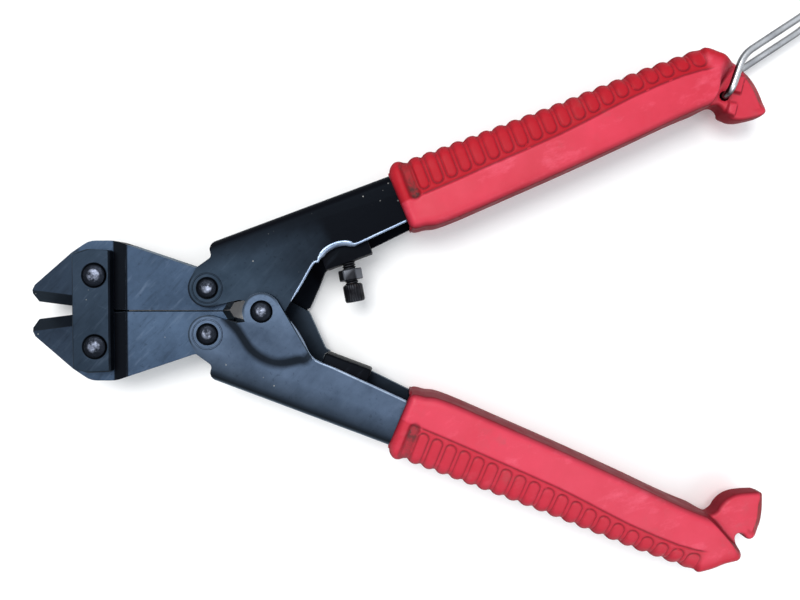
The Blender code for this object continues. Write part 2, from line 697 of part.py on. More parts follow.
def make_latch(name, place, parts):
    """The wire loop: through the hole, two legs with a bend, and the cross bar."""
    first, turn = LATCH_FIRST
    second, run = LATCH_SECOND
    corners = []
    for side in (1, -1):
        skew = direction(run + math.pi / 2) * LATCH_SKEW[side]
        height = Vector((0, 0, LATCH_LEG * side))
        bend = direction(turn) * first + height + skew
        leg = [height, bend, bend + direction(run) * second * LATCH_STRAIGHT,
               bend + direction(run) * second - skew]
        corners += leg if side > 0 else leg[::-1]
    path = rounded_path(corners, LATCH_CORNER)
    curve = bpy.data.curves.new(name, "CURVE")
    curve.dimensions = "3D"
    curve.bevel_depth = WIRE * MM
    curve.bevel_resolution = 2
    spline = curve.splines.new("POLY")
    spline.points.add(len(path) - 1)
    for point, spot in zip(spline.points, path):
        point.co = (*(spot * MM), 1)
    spline.use_cyclic_u = True
    wire = baked(as_object(name, curve, parts), parts)
    return finish_part(wire, ZINC, place, 60)


def build():
    clear_scene()
    parts = new_collection("bolt_cutters")
    cutters = new_collection("cutters")
    over = turn_over()
    upper_jaw_place = lift() @ Matrix.Translation(JAW_PIVOT * MM)
    upper_place = lift() @ Matrix.Rotation(HANDLE_ANGLE, 4, "Z")
    jaw_places = {"upper": upper_jaw_place, "lower": lift() @ over @ lift().inverted() @ upper_jaw_place}
    places = {"upper": upper_place, "lower": lift() @ over @ lift().inverted() @ upper_place}
    hole = (Matrix.Rotation(HANDLE_ANGLE, 3, "Z") @ LATCH_HOLE)
    screw = stop_axis(places["upper"])

    for side, name in ((1, "front"), (-1, "back")):
        make_side_plate(f"{name}_side_plate", side, parts, cutters)
    for half, sign in (("upper", 1), ("lower", -1)):
        pivot = (JAW_PIVOT.x, JAW_PIVOT.y * sign)
        link = (LINK_PIVOT.x, LINK_PIVOT.y * sign)
        make_rivet(f"{half}_jaw_rivet", JAW_RIVET, PLATE_TOP, pivot, parts)
        jaw_axis = axis_empty(f"{half}_jaw_axis", pivot, parts)
        link_axis = axis_empty(f"{half}_link_axis", link, parts)
        hang(make_jaw(f"{half}_jaw", jaw_places[half], parts, cutters), jaw_axis)
        hang(make_rivet(f"{half}_link_rivet", LINK_RIVET, CHANNEL_HALF, link, parts), link_axis)
        hang(make_handle(f"{half}_handle", places[half], parts, cutters, sign), link_axis)
        hang(make_grip(half, places[half], parts, cutters), link_axis)
    make_rivet("centre_pivot_rivet", CENTRE_RIVET, EAR_TOP, (0, 0), parts, back=MIDDLE)
    make_block("upper_stop_block", places["upper"], STOP_FACE, parts, cutters, screw)
    make_block("lower_stop_block", places["lower"], ANVIL_FACE, parts, cutters)
    make_stop_screw("stop_screw", screw, parts)
    make_lock_nut("lock_nut", screw, parts, cutters)
    latch_place = Matrix.Translation((hole.x * MM, hole.y * MM, MIDDLE * MM))
    make_latch("latch_bail", latch_place, parts)


build()
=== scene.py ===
import math

import bpy
import bmesh
import numpy as np
from mathutils import Matrix, Vector


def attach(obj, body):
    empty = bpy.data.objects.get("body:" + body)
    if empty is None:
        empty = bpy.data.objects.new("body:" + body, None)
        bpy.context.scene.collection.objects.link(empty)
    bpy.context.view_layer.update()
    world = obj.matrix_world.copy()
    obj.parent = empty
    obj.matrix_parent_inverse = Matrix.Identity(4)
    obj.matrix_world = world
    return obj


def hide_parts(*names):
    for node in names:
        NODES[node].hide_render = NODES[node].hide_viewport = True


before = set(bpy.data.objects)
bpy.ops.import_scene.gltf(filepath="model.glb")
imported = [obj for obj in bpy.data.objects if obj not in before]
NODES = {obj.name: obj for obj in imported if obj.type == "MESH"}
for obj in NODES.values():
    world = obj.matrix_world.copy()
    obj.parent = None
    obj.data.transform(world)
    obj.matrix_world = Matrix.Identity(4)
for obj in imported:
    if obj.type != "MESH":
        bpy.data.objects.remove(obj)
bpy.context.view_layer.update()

MM = 0.001
MIDDLE = 8.6                 # height of the object's middle plane
ANGLE = math.radians(20.5)   # the handles' lean at rest


# ---------------------------------------------------------------- places

def handle_place(half):
    """The frame of a handle: centre pivot at the origin, grip along +X, in metres."""
    place = Matrix.Rotation(ANGLE, 4, "Z")
    if half == "lower":
        place = Matrix.Rotation(math.pi, 4, "X") @ place
    return Matrix.Translation((0, 0, MIDDLE * MM)) @ place


def link(obj):
    """Put a new object in the scene."""
    bpy.context.scene.collection.objects.link(obj)
    return obj


def mesh_object(name, verts, faces, material):
    """A smooth-shaded mesh from points in millimetres, with its outward side fixed."""
    mesh = bpy.data.meshes.new(name)
    mesh.from_pydata([tuple(c * MM for c in v) for v in verts], [], faces)
    work = bmesh.new()
    work.from_mesh(mesh)
    bmesh.ops.recalc_face_normals(work, faces=work.faces)
    work.to_mesh(mesh)
    work.free()
    mesh.shade_smooth()
    mesh.materials.append(material)
    return link(bpy.data.objects.new(name, mesh))


def join(first, second, around):
    """Quads between two rings of points, from where each ring starts in the list."""
    pairs = [(k, (k + 1) % around) for k in range(around)]
    return [(first + k, first + j, second + j, second + k) for k, j in pairs]


def skin(rings, around):
    """Quads all along a row of rings."""
    return [face for i in range(rings - 1) for face in join(i * around, (i + 1) * around, around)]


def settle(obj, place, body):
    """Put a piece in its place for good and let it ride on its body."""
    obj.data.transform(place)
    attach(obj, body)


# ---------------------------------------------------------------- materials

class Nodes:
    """Short hand for building a node material."""

    def __init__(self, name, colour, roughness, metallic):
        self.material = bpy.data.materials.new(name)
        self.material.use_nodes = True
        self.tree = self.material.node_tree
        self.shader = self.tree.nodes["Principled BSDF"]
        self.put("Base Color", colour)
        self.put("Roughness", roughness)
        self.put("Metallic", metallic)
        self.coords = self.tree.nodes.new("ShaderNodeTexCoord").outputs["Object"]

    def put(self, socket, value):
        """Set one of the shader's own sockets."""
        self.shader.inputs[socket].default_value = value

    def wire(self, source, target):
        self.tree.links.new(source, target)

    def scaled(self, scale, turn):
        """Object coordinates, turned and then stretched."""
        turned = self.tree.nodes.new("ShaderNodeMapping")
        turned.inputs["Rotation"].default_value = turn
        self.wire(self.coords, turned.inputs["Vector"])
        stretched = self.tree.nodes.new("ShaderNodeMapping")
        stretched.inputs["Scale"].default_value = scale
        self.wire(turned.outputs["Vector"], stretched.inputs["Vector"])
        return stretched.outputs["Vector"]

    def noise(self, scale, detail=4, rough=0.55, vector=None):
        """Smooth noise of a scale in cells per metre, on the object's coordinates or given ones."""
        node = self.tree.nodes.new("ShaderNodeTexNoise")
        node.inputs["Scale"].default_value = scale
        node.inputs["Detail"].default_value = detail
        node.inputs["Roughness"].default_value = rough
        self.wire(vector if vector is not None else self.coords, node.inputs["Vector"])
        return node.outputs["Fac"]

    def cells(self, scale):
        """Distance from the middle of scattered cells."""
        node = self.tree.nodes.new("ShaderNodeTexVoronoi")
        node.inputs["Scale"].default_value = scale
        self.wire(self.coords, node.inputs["Vector"])
        return node.outputs["Distance"]

    def ramp(self, source, stops):
        """A grey ramp between two stops of position and grey."""
        node = self.tree.nodes.new("ShaderNodeValToRGB")
        for element, (position, value) in zip(node.color_ramp.elements, stops):
            element.position = position
            element.color = (value, value, value, 1)
        self.wire(source, node.inputs["Fac"])
        return node.outputs["Color"]

    def spread(self, source, low, high, to_low=0.0, to_high=1.0):
        """A value's place between two limits, clamped, on a new scale."""
        node = self.tree.nodes.new("ShaderNodeMapRange")
        node.inputs["From Min"].default_value = low
        node.inputs["From Max"].default_value = high
        node.inputs["To Min"].default_value = to_low
        node.inputs["To Max"].default_value = to_high
        self.wire(source, node.inputs["Value"])
        return node.outputs["Result"]

    def sums(self, kind, a, b):
        """One step of arithmetic on sockets or numbers."""
        node = self.tree.nodes.new("ShaderNodeMath")
        node.operation = kind
        for socket, value in zip(node.inputs, (a, b)):
            if isinstance(value, (int, float)):
                socket.default_value = value
            else:
                self.wire(value, socket)
        return node.outputs[0]

    def times(self, a, b):
        return self.sums("MULTIPLY", a, b)

    def plus(self, a, b):
        return self.sums("ADD", a, b)

    def less(self, a, b):
        return self.sums("SUBTRACT", a, b)

    def size(self, a):
        return self.sums("ABSOLUTE", a, 0.0)

    def blend(self, share, first, second):
        """The first colour, going over to the second by a share."""
        node = self.tree.nodes.new("ShaderNodeMix")
        node.data_type = "RGBA"
        self.wire(share, node.inputs["Factor"])
        for socket, value in ((node.inputs[6], first), (node.inputs[7], second)):
            if isinstance(value, tuple):
                socket.default_value = value
            else:
                self.wire(value, socket)
        return node.outputs[2]

    def part(self, vector, axis):
        """One coordinate of a vector."""
        node = self.tree.nodes.new("ShaderNodeSeparateXYZ")
        self.wire(vector, node.inputs[0])
        return node.outputs[axis]

    def attribute(self, name):
        """A value stored on the mesh's points."""
        node = self.tree.nodes.new("ShaderNodeAttribute")
        node.attribute_name = name
        return node.outputs["Fac"]

    def geometry(self, output):
        return self.tree.nodes.new("ShaderNodeNewGeometry").outputs[output]

    def bump(self, layers):
        """Chain bumps given as (height, strength, distance in millimetres)."""
        normal = None
        for height, strength, distance in layers:
            node = self.tree.nodes.new("ShaderNodeBump")
            node.inputs["Strength"].default_value = strength
            node.inputs["Distance"].default_value = distance * MM
            self.wire(height, node.inputs["Height"])
            if normal is not None:
                self.wire(normal, node.inputs["Normal"])
            normal = node.outputs["Normal"]
        self.wire(normal, self.shader.inputs["Normal"])


PITCH = (0.0035, 0.0038, 0.0055, 1)          # the black that every dark mask goes over to
SLATE_EDGE = (0.20, 0.26, 0.36, 1)
DUST = (0.42, 0.42, 0.40, 1)
BLUE_SHINE = (0.50, 0.74, 1.0, 1)
GRIND = math.radians(-47)    # direction of the grinding lines
CROSS_GRIND = math.radians(24)
EDGE_RADIUS = 0.22


def edge_mask(n, radius):
    """Where a surface turns within a radius in millimetres: one at its edges."""
    soft = n.tree.nodes.new("ShaderNodeBevel")
    soft.samples = 6
    soft.inputs["Radius"].default_value = radius * MM
    dot = n.tree.nodes.new("ShaderNodeVectorMath")
    dot.operation = "DOT_PRODUCT"
    n.wire(soft.outputs["Normal"], dot.inputs[0])
    n.wire(n.geometry("Normal"), dot.inputs[1])
    return n.spread(dot.outputs["Value"], 0.985, 0.86)


def fade_out(n, base, fade, rough):
    """Painted dark reflection: go black along the handle from one place to another, and give the gloss to
    match.
    """
    low, high, dark_gloss, outward = fade
    reach = n.times(n.size(n.part(n.coords, 1)), outward)
    run = n.plus(n.part(n.coords, 0), reach)
    drift = n.plus(run, n.spread(n.noise(90, 4), 0.3, 0.7, -0.004, 0.004))
    return n.blend(n.spread(drift, low, high), base, PITCH), n.spread(drift, low, high, rough, dark_gloss)


def spine_shade(n, base, spine):
    """Darken the flange where it bends into the channel's back."""
    lean, near, far, share = spine
    up = n.times(n.size(n.part(n.coords, 1)), math.cos(lean))
    over = n.times(n.part(n.coords, 0), math.sin(lean))
    return n.blend(n.spread(n.less(up, over), near, far, 0, share), base, PITCH)


def ear_shade(n, base, ear):
    """A dark crescent round the free side of a riveted ear."""
    centre, inner, outer, toward, mirrored = ear
    x = n.less(n.part(n.coords, 0), centre[0])
    y = n.part(n.coords, 1)
    if mirrored:
        y = n.size(y)
    y = n.less(y, centre[1])
    reach = n.sums("SQRT", n.plus(n.times(x, x), n.times(y, y)), 0.0)
    ring = n.times(n.spread(reach, inner, inner + 0.0004), n.spread(reach, outer + 0.0005, outer))
    ahead = n.plus(n.times(x, toward[0]), n.times(y, toward[1]))
    return n.blend(n.times(ring, n.spread(ahead, -0.0005, 0.0025, 0, 0.85)), base, PITCH)


def recess_shade_strip(n, base, strip, specular, metal):
    """Painted shade: a dull black strip across the jaws in the recess beside the side plates."""
    middle, half = strip
    away = n.size(n.less(n.part(n.coords, 0), middle))
    recess = n.spread(away, half + 0.0002, half - 0.0002)
    n.wire(n.spread(recess, 0, 1, specular, 0.05), n.shader.inputs["Specular IOR Level"])
    n.wire(n.spread(recess, 0, 1, metal, 0.0), n.shader.inputs["Metallic"])
    return n.blend(recess, base, PITCH)


def oxide_steel(name, body, sheen, rough, scratch, edge=SLATE_EDGE, fade=None, strip=None, flank=0.9,
                specular=0.35, spine=None, inside=0.0, metal=0.5, nose=None, ears=()):
    """Blackened steel: slate sheen with clouding, fine grinding lines, dust and worn edges, with painted
    shade and dark reflections on its sides, bends, ears, recesses and inside its channel.
    """
    n = Nodes(name, body, rough, metal)
    clouds = n.noise(70, 6, 0.65)
    base = n.blend(n.spread(clouds, 0.30, 0.72), body, sheen)
    lines = n.noise(420, 3, 0.6, n.scaled((0.22, 1.5, 1.0), (0, 0, GRIND)))
    base = n.blend(n.spread(lines, 0.56, 0.78, 0, 0.30 * scratch), base, edge)
    base = n.blend(n.spread(lines, 0.44, 0.28, 0, 0.45 * scratch), base, PITCH)
    marks = n.noise(900, 2, 0.5, n.scaled((0.05, 1.2, 1.0), (0, 0, CROSS_GRIND)))
    base = n.blend(n.spread(marks, 0.70, 0.82, 0, 0.20 * scratch), base, edge)
    pits = n.spread(n.noise(800, 3, 0.6), 0.62, 0.72)
    base = n.blend(n.times(pits, 0.30), base, PITCH)
    gloss = n.spread(clouds, 0.3, 0.7, rough - 0.07, rough + 0.08)
    # Painted dark reflection along the upper handle
    if fade is not None:
        base, gloss = fade_out(n, base, fade, rough)
    if spine is not None:
        base = spine_shade(n, base, spine)
    for ear in ears:
        base = ear_shade(n, base, ear)
    # Painted shade in the recess beside the side plates
    if strip is not None:
        base = recess_shade_strip(n, base, strip, specular, metal)
    # Painted shade on the jaws' nose
    if nose is not None:
        base = n.blend(n.spread(n.part(n.coords, 0), nose + 0.0004, nose - 0.0004, 0, 0.62), base, PITCH)
    # Painted shade: faces that turn away from straight up go over to black, by the flank share
    facing = n.size(n.part(n.geometry("Normal"), 2))
    base = n.blend(n.spread(facing, 0.99, 0.88, 0, flank), base, PITCH)
    patchy = n.times(edge_mask(n, EDGE_RADIUS), n.spread(n.noise(260, 4, 0.6), 0.38, 0.66))
    base = n.blend(n.times(patchy, 0.30), base, edge)
    dust = n.times(n.spread(n.cells(420), 0.11, 0.06), n.spread(n.noise(110, 2), 0.58, 0.64))
    base = n.blend(n.times(dust, 0.6), base, DUST)
    # Painted shade inside the channel: faces that turn toward the middle plane go over to black
    if inside:
        above = n.less(n.part(n.geometry("Position"), 2), MIDDLE * MM)
        outward = n.times(n.part(n.geometry("Normal"), 2), above)
        base = n.blend(n.spread(outward, 0.0012, 0.0004, 0, inside), base, PITCH)
    n.wire(base, n.shader.inputs["Base Color"])
    n.wire(gloss, n.shader.inputs["Roughness"])
    n.put("Specular IOR Level", specular)
    n.put("Specular Tint", BLUE_SHINE)
    n.bump([(lines, 0.10, 0.04), (n.noise(750, 3), 0.20, 0.05), (n.noise(120, 3), 0.12, 0.25)])
    return n.material


VINYL_DEEP, VINYL = (0.53, 0.019, 0.042, 1), (0.66, 0.034, 0.074, 1)
VINYL_BLOOM, VINYL_STREAK = (0.74, 0.080, 0.140, 1), (0.84, 0.135, 0.210, 1)
VINYL_BAND_SHADE, VINYL_WALL_SHADE = (0.40, 0.007, 0.015, 1), (0.150, 0.010, 0.016, 1)
VINYL_HOLLOW_SHADE = (0.20, 0.008, 0.018, 1)
DIRT, GRIME = (0.16, 0.11, 0.10, 1), (0.045, 0.024, 0.022, 1)


def red_vinyl():
    """Dipped red vinyl: milky highlights, mottling, fine grain and dirt in the grooves, with painted shade
    on its walls, in its hollows and over the ridged band.
    """
    n = Nodes("grip_vinyl", VINYL, 0.48, 0.0)
    base = n.blend(n.spread(n.noise(38, 5, 0.62), 0.32, 0.70), VINYL_DEEP, VINYL)
    base = n.blend(n.spread(n.noise(14, 3, 0.5), 0.48, 0.75, 0, 0.35), base, VINYL_BLOOM)
    streaks = n.noise(150, 5, 0.7, n.scaled((0.5, 1.0, 1.0), (0, 0, -ANGLE)))
    base = n.blend(n.spread(streaks, 0.54, 0.72, 0, 0.40), base, VINYL_STREAK)
    # Painted shade: the ridged band and the grip's darker rims, from the mesh's band values
    band = n.attribute("band")
    base = n.blend(n.times(band, 0.9), base, VINYL_BAND_SHADE)
    # Painted shade: walls that turn away from straight up go over to dark red
    wall = n.spread(n.size(n.part(n.geometry("Normal"), 2)), 0.93, 0.30)
    base = n.blend(n.times(wall, 0.92), base, VINYL_WALL_SHADE)
    # Painted shade in the hollows, found by pointiness
    hollow = n.spread(n.geometry("Pointiness"), 0.492, 0.455)
    base = n.blend(n.times(hollow, 0.85), base, VINYL_HOLLOW_SHADE)
    dirt = n.times(n.spread(n.noise(210, 4, 0.65), 0.52, 0.66), n.spread(n.noise(42, 2), 0.50, 0.66))
    base = n.blend(n.times(dirt, 0.22), base, DIRT)
    speck = n.spread(n.noise(420, 4, 0.7), 0.42, 0.60)
    share = n.times(n.attribute("grime"), n.plus(n.times(speck, 0.55), 0.42))
    base = n.blend(share, base, GRIME)
    n.wire(base, n.shader.inputs["Base Color"])
    n.wire(n.spread(n.noise(160, 4), 0.3, 0.7, 0.40, 0.58), n.shader.inputs["Roughness"])
    shine = n.times(n.spread(wall, 0.1, 0.8, 0.36, 0.03), n.spread(band, 0, 1, 1, 0.35))
    n.wire(shine, n.shader.inputs["Specular IOR Level"])
    n.put("Subsurface Weight", 0.08)
    n.put("Subsurface Radius", (0.6, 0.12, 0.10))
    n.put("Subsurface Scale", 0.002)
    n.bump([(n.noise(1500, 2), 0.20, 0.03), (n.noise(240, 4), 0.22, 0.10), (n.noise(45, 3), 0.15, 0.5)])
    return n.material


ZINC, ZINC_DULL = (0.80, 0.81, 0.84, 1), (0.46, 0.47, 0.50, 1)
ZINC_LINE, ZINC_SIDE_REFLECTION = (0.25, 0.25, 0.27, 1), (0.045, 0.047, 0.052, 1)
DRAWN = math.radians(-33)    # direction of the wire's drawing lines


def zinc_wire():
    """Bright plated wire with fine drawing lines, dull spots and dark sides, the dark sides a painted dark
    reflection.
    """
    n = Nodes("latch_zinc", ZINC, 0.24, 1.0)
    lines = n.noise(520, 3, 0.6, n.scaled((0.10, 1.0, 1.0), (0, 0, DRAWN)))
    dull = n.noise(140, 4, 0.6)
    base = n.blend(n.spread(dull, 0.45, 0.70), ZINC, ZINC_DULL)
    base = n.blend(n.spread(lines, 0.58, 0.75, 0, 0.55), base, ZINC_LINE)
    # Painted dark reflection: the wire's sides go over to near black
    up = n.size(n.part(n.geometry("Normal"), 2))
    base = n.blend(n.spread(up, 0.90, 0.58, 0, 0.9), base, ZINC_SIDE_REFLECTION)
    n.wire(base, n.shader.inputs["Base Color"])
    n.wire(n.spread(dull, 0.35, 0.7, 0.18, 0.40), n.shader.inputs["Roughness"])
    n.bump([(lines, 0.25, 0.04), (n.noise(900, 2), 0.10, 0.03)])
    return n.material


RIVET_FLANK, RIVET_HIGHLIGHT = (0.010, 0.013, 0.020, 1), (0.26, 0.29, 0.38, 1)


def rivet_steel():
    """Peened rivet heads: rough dark flanks and a painted highlight on the crown."""
    n = Nodes("rivet_crown", RIVET_FLANK, 0.34, 0.9)
    # Painted highlight on the top of each head
    crown = n.spread(n.part(n.geometry("Normal"), 2), 0.984, 0.998)
    crown_highlight = n.times(crown, n.spread(n.noise(620, 4, 0.65), 0.40, 0.60))
    n.wire(n.blend(crown_highlight, RIVET_FLANK, RIVET_HIGHLIGHT), n.shader.inputs["Base Color"])
    n.wire(n.spread(n.noise(600, 3), 0.3, 0.7, 0.26, 0.50), n.shader.inputs["Roughness"])
    n.bump([(n.noise(620, 4, 0.6), 0.9, 0.35), (n.noise(1500, 2), 0.3, 0.05)])
    return n.material


SCREW_BLACK, SCREW_SHEEN = (0.006, 0.006, 0.008, 1), (0.024, 0.025, 0.030, 1)
RUST, SCREW_WORN = (0.10, 0.055, 0.035, 1), (0.24, 0.26, 0.30, 1)


def screw_steel():
    """Blackened screw steel, a little rusty in the thread."""
    n = Nodes("screw_black", SCREW_BLACK, 0.42, 0.7)
    base = n.blend(n.spread(n.noise(260, 4), 0.4, 0.7), SCREW_BLACK, SCREW_SHEEN)
    rust = n.spread(n.noise(330, 4, 0.7), 0.62, 0.74)
    base = n.blend(n.times(rust, 0.5), base, RUST)
    worn = n.spread(n.geometry("Pointiness"), 0.53, 0.62)
    base = n.blend(n.times(worn, 0.5), base, SCREW_WORN)
    n.wire(base, n.shader.inputs["Base Color"])
    n.put("Specular IOR Level", 0.12)
    n.bump([(n.noise(700, 3), 0.35, 0.08)])
    return n.material


STRIP = (-0.0408, 0.0021)    # middle and half width of the painted shade strip across the jaws, in metres
NOSE = -0.0525               # in front of this the jaws are darker: painted shade on the nose
FADE = (0.000, 0.034, 0.30, 0.75)            # painted dark reflection on the upper handle: from, to, gloss and how much height counts
SPINE_SHADE = (ANGLE, 0.0150, 0.0212, 0.88)
# Each ear: centre, inner and outer radius, the way its free side faces, mirrored below
LINK_EAR = ((-0.0156, 0.00645), 0.0047, 0.0056, (-0.8, -0.6), True)
UPPER_PIVOT_EAR = ((0, 0), 0.0045, 0.0055, (-0.35, -0.94), False)
LOWER_PIVOT_EAR = ((0, 0), 0.0045, 0.0055, (-0.35, 0.94), False)
# The lower jaw's copy of the oxide is lighter: painted light on the same steel as the upper jaw
MAT_JAW = {
    "upper": oxide_steel("jaw_oxide", (0.018, 0.030, 0.054, 1), (0.050, 0.080, 0.135, 1), 0.44, 0.7,
                         strip=STRIP, nose=NOSE),
    "lower": oxide_steel("lower_jaw_lit_oxide", (0.026, 0.042, 0.074, 1), (0.070, 0.110, 0.180, 1), 0.42, 0.7,
                         strip=STRIP, nose=NOSE)}
MAT_PLATE = oxide_steel("plate_oxide", (0.013, 0.021, 0.034, 1), (0.027, 0.041, 0.064, 1), 0.44, 0.5,
                        specular=0.25)
# Both handles have the same paint: the upper copy is darker and fades to black as a painted dark reflection,
# and the lower copy is lighter as a painted light reflection
MAT_HANDLE = {
    "upper": oxide_steel("upper_handle_paint_dark_reflection", (0.024, 0.038, 0.058, 1), (0.044, 0.066, 0.098, 1),
                         0.42, 0.25, fade=FADE, specular=0.02, spine=SPINE_SHADE, inside=0.9,
                         metal=0.05, ears=(LINK_EAR, UPPER_PIVOT_EAR)),
    "lower": oxide_steel("lower_handle_paint_light_reflection", (0.048, 0.070, 0.112, 1), (0.100, 0.140, 0.215, 1),
                         0.34, 0.25, specular=0.5, spine=SPINE_SHADE, inside=0.9,
                         ears=(LINK_EAR, LOWER_PIVOT_EAR))}
# The stop blocks are near black: painted shade inside the handles' channels
MAT_BLOCK_SHADE = oxide_steel("block_painted_shade", (0.003, 0.003, 0.004, 1), (0.006, 0.006, 0.008, 1), 0.45, 0.2,
                        specular=0.04, metal=0.0)
# A real rolled edge, coloured bright as a painted highlight
MAT_ROLL_HIGHLIGHT = oxide_steel("rolled_edge_highlight", (0.20, 0.27, 0.40, 1), (0.48, 0.58, 0.74, 1), 0.25, 0.8,
                       edge=(0.7, 0.76, 0.85, 1), flank=0.25)
MAT_VINYL = red_vinyl()
MAT_ZINC = zinc_wire()
MAT_RIVET = rivet_steel()
MAT_SCREW = screw_steel()


# ---------------------------------------------------------------- carried-over steel

def auto_smooth_group(angle):
    """A node group that shades smooth, with edges over an angle kept sharp."""
    group = bpy.data.node_groups.new("smooth_by_angle", "GeometryNodeTree")
    group.interface.new_socket("Geometry", in_out="INPUT", socket_type="NodeSocketGeometry")
    group.interface.new_socket("Geometry", in_out="OUTPUT", socket_type="NodeSocketGeometry")
    nodes = group.nodes
    start, end = nodes.new("NodeGroupInput"), nodes.new("NodeGroupOutput")
    smooth_faces = nodes.new("GeometryNodeSetShadeSmooth")
    smooth_faces.domain = "FACE"
    smooth_edges = nodes.new("GeometryNodeSetShadeSmooth")
    smooth_edges.domain = "EDGE"
    bend = nodes.new("GeometryNodeInputMeshEdgeAngle")
    compare = nodes.new("FunctionNodeCompare")
    compare.data_type = "FLOAT"
    compare.operation = "LESS_EQUAL"
    compare.inputs["B"].default_value = angle
    link_up = group.links.new
    link_up(start.outputs[0], smooth_faces.inputs["Geometry"])
    link_up(smooth_faces.outputs[0], smooth_edges.inputs["Geometry"])
    link_up(bend.outputs["Unsigned Angle"], compare.inputs["A"])
    link_up(compare.outputs[0], smooth_edges.inputs["Shade Smooth"])
    link_up(smooth_edges.outputs[0], end.inputs[0])
    return group


SMOOTH = auto_smooth_group(math.radians(32))
WELD = 0.00001               # metres
FLAT = math.radians(0.8)     # faces that meet under this become one


def refine(node, material, width, segments=3, limit=38):
    """Weld a carried-over node and round its edges of over limit degrees, width in millimetres."""
    obj = NODES[node]
    weld = obj.modifiers.new("weld", "WELD")
    weld.merge_threshold = WELD
    flat = obj.modifiers.new("flat", "DECIMATE")
    flat.decimate_type = "DISSOLVE"
    flat.angle_limit = FLAT
    smooth = obj.modifiers.new("smooth", "NODES")
    smooth.node_group = SMOOTH
    bevel = obj.modifiers.new("edges", "BEVEL")
    bevel.width = width * MM
    bevel.segments = segments
    bevel.limit_method = "ANGLE"
    bevel.angle_limit = math.radians(limit)
    bevel.use_clamp_overlap = True
    bevel.harden_normals = True
    obj.data.materials.clear()
    obj.data.materials.append(material)


for half in ("upper", "lower"):
    refine(f"{half}_jaw", MAT_JAW[half], width=0.25)
    refine(f"{half}_handle", MAT_HANDLE[half], width=0.50, segments=4)
    refine(f"{half}_stop_block", MAT_BLOCK_SHADE, width=0.7, segments=4)
for side in ("front", "back"):
    refine(f"{side}_side_plate", MAT_PLATE, width=0.18)
refine("lock_nut", MAT_SCREW, width=0.18, segments=2, limit=25)
for name in ("upper_jaw_rivet", "lower_jaw_rivet", "upper_link_rivet", "lower_link_rivet",
             "centre_pivot_rivet"):
    refine(name, MAT_RIVET, width=0.12, segments=2, limit=35)


# ---------------------------------------------------------------- grips

FACE = 8.45                  # height of a grip's smooth face
TONGUE = 3.0                 # height of the thin end's face
SCALLOPS = 20                # ridges in a row
FIRST, LAST = 52.2, 138.6    # where their row starts and ends
GROWTH = 0.10                # how much longer the ridges get along it
INNER = [(46.55, 8.3), (46.8, 7.4), (47.6, 6.7), (48.9, 6.4), (50.8, 6.2), (54.0, 5.45), (60.0, 5.4),
         (67.0, 5.75), (75.0, 6.2), (85.0, 6.75), (95.0, 7.35), (105.0, 8.05), (115.0, 8.8),
         (123.0, 9.5), (130.0, 10.0), (135.5, 10.15), (139.3, 10.1)]
INNER_TAB = {
    "upper": [(140.7, 8.8), (141.2, 6.7), (142.6, 4.6), (144.9, 3.45), (147.9, 2.9), (150.6, 2.6)],
    "lower": [(140.9, 8.5), (141.4, 6.3), (142.5, 4.0), (144.5, 1.95), (147.4, 0.35), (150.1, -0.8)]}
OUTER_START = [(46.1, 20.5), (46.15, 22.6), (46.6, 24.2), (47.6, 25.5), (48.9, 26.1), (50.2, 25.9),
               (51.3, 25.3)]
OUTER_TAB = {
    "upper": [(139.6, 25.5), (141.0, 24.7), (142.6, 23.3), (144.4, 21.8), (146.4, 20.2), (148.6, 18.9),
              (150.2, 17.2), (151.6, 14.6), (152.5, 11.6), (152.9, 8.4), (152.9, 5.4), (152.4, 3.4),
              (151.6, 2.8)],
    "lower": [(139.6, 25.7), (141.2, 24.7), (143.2, 23.2), (145.8, 20.8), (148.1, 19.2), (149.4, 18.1),
              (150.1, 16.9), (150.0, 15.8), (149.4, 14.8), (148.8, 13.85), (148.75, 12.9), (149.3, 12.3),
              (150.4, 12.15), (151.4, 12.7), (152.4, 12.9), (153.3, 12.4), (154.2, 10.8), (154.5, 8.6),
              (154.3, 6.2), (153.6, 3.4), (152.6, 0.6), (152.0, -0.7), (151.2, -0.95)]}
GROOVE = [(44.0, 14.2), (50.0, 14.6), (60.0, 15.0), (71.0, 15.6), (82.0, 16.2), (94.0, 16.95),
          (102.0, 17.8), (109.0, 18.7), (116.0, 19.5), (124.0, 20.0), (131.0, 20.1), (136.0, 19.7),
          (140.0, 18.9), (150.0, 17.0)]
SHOULDER = {"upper": [(132.6, 4.5), (135.4, 9.0), (138.9, 12.6), (141.0, 15.1), (143.2, 17.4), (146.2, 20.0),
                      (150.0, 24.0)],
            "lower": [(133.6, 6.8), (135.7, 9.1), (139.5, 11.1), (142.9, 12.9), (146.2, 14.8), (149.9, 16.6),
                      (153.6, 18.6)]}
BAND_SHARE = {"upper": 1.0, "lower": 0.55}   # how much darker the ridged band is painted, as painted shade: stronger on the upper grip
BAND_BLUR = 0.7              # width of the step from the smooth face to the band
BAND_END, BAND_END_BLUR = 139.5, 2.5
BAND_TOP = ([46, 139], [25.4, 25.8])         # the band's outer side, along the handle
BAND_STEP, BAND_FALL = 0.30, 1.55            # how far it lies down, and falls towards its outer side
RIDGE_REACH, RIDGE_FOOT, RIDGE_GROOVE = 0.375, 1.05, 0.24
CROWN = 0.075                # the smooth face's fall towards the band
FURROW_DEPTH = 0.42          # the long groove between the band and the smooth face
BEAD = (48.2, 1.0, 0.12)     # place, width and height of the collar's bead
RECESS = ((51.0, 19.9), math.pi / 2, 5.7, 1.45, 1.3, True)    # the first, deeper recess, by the collar
RECESS_DEPTH = 0.85
SHOULDER_WIDTH = 1.5
SHOULDER_SPREAD = {"upper": (5.5, 12.5, 8), "lower": (4.0, 14.5, 4)}    # extra width, from and over Y
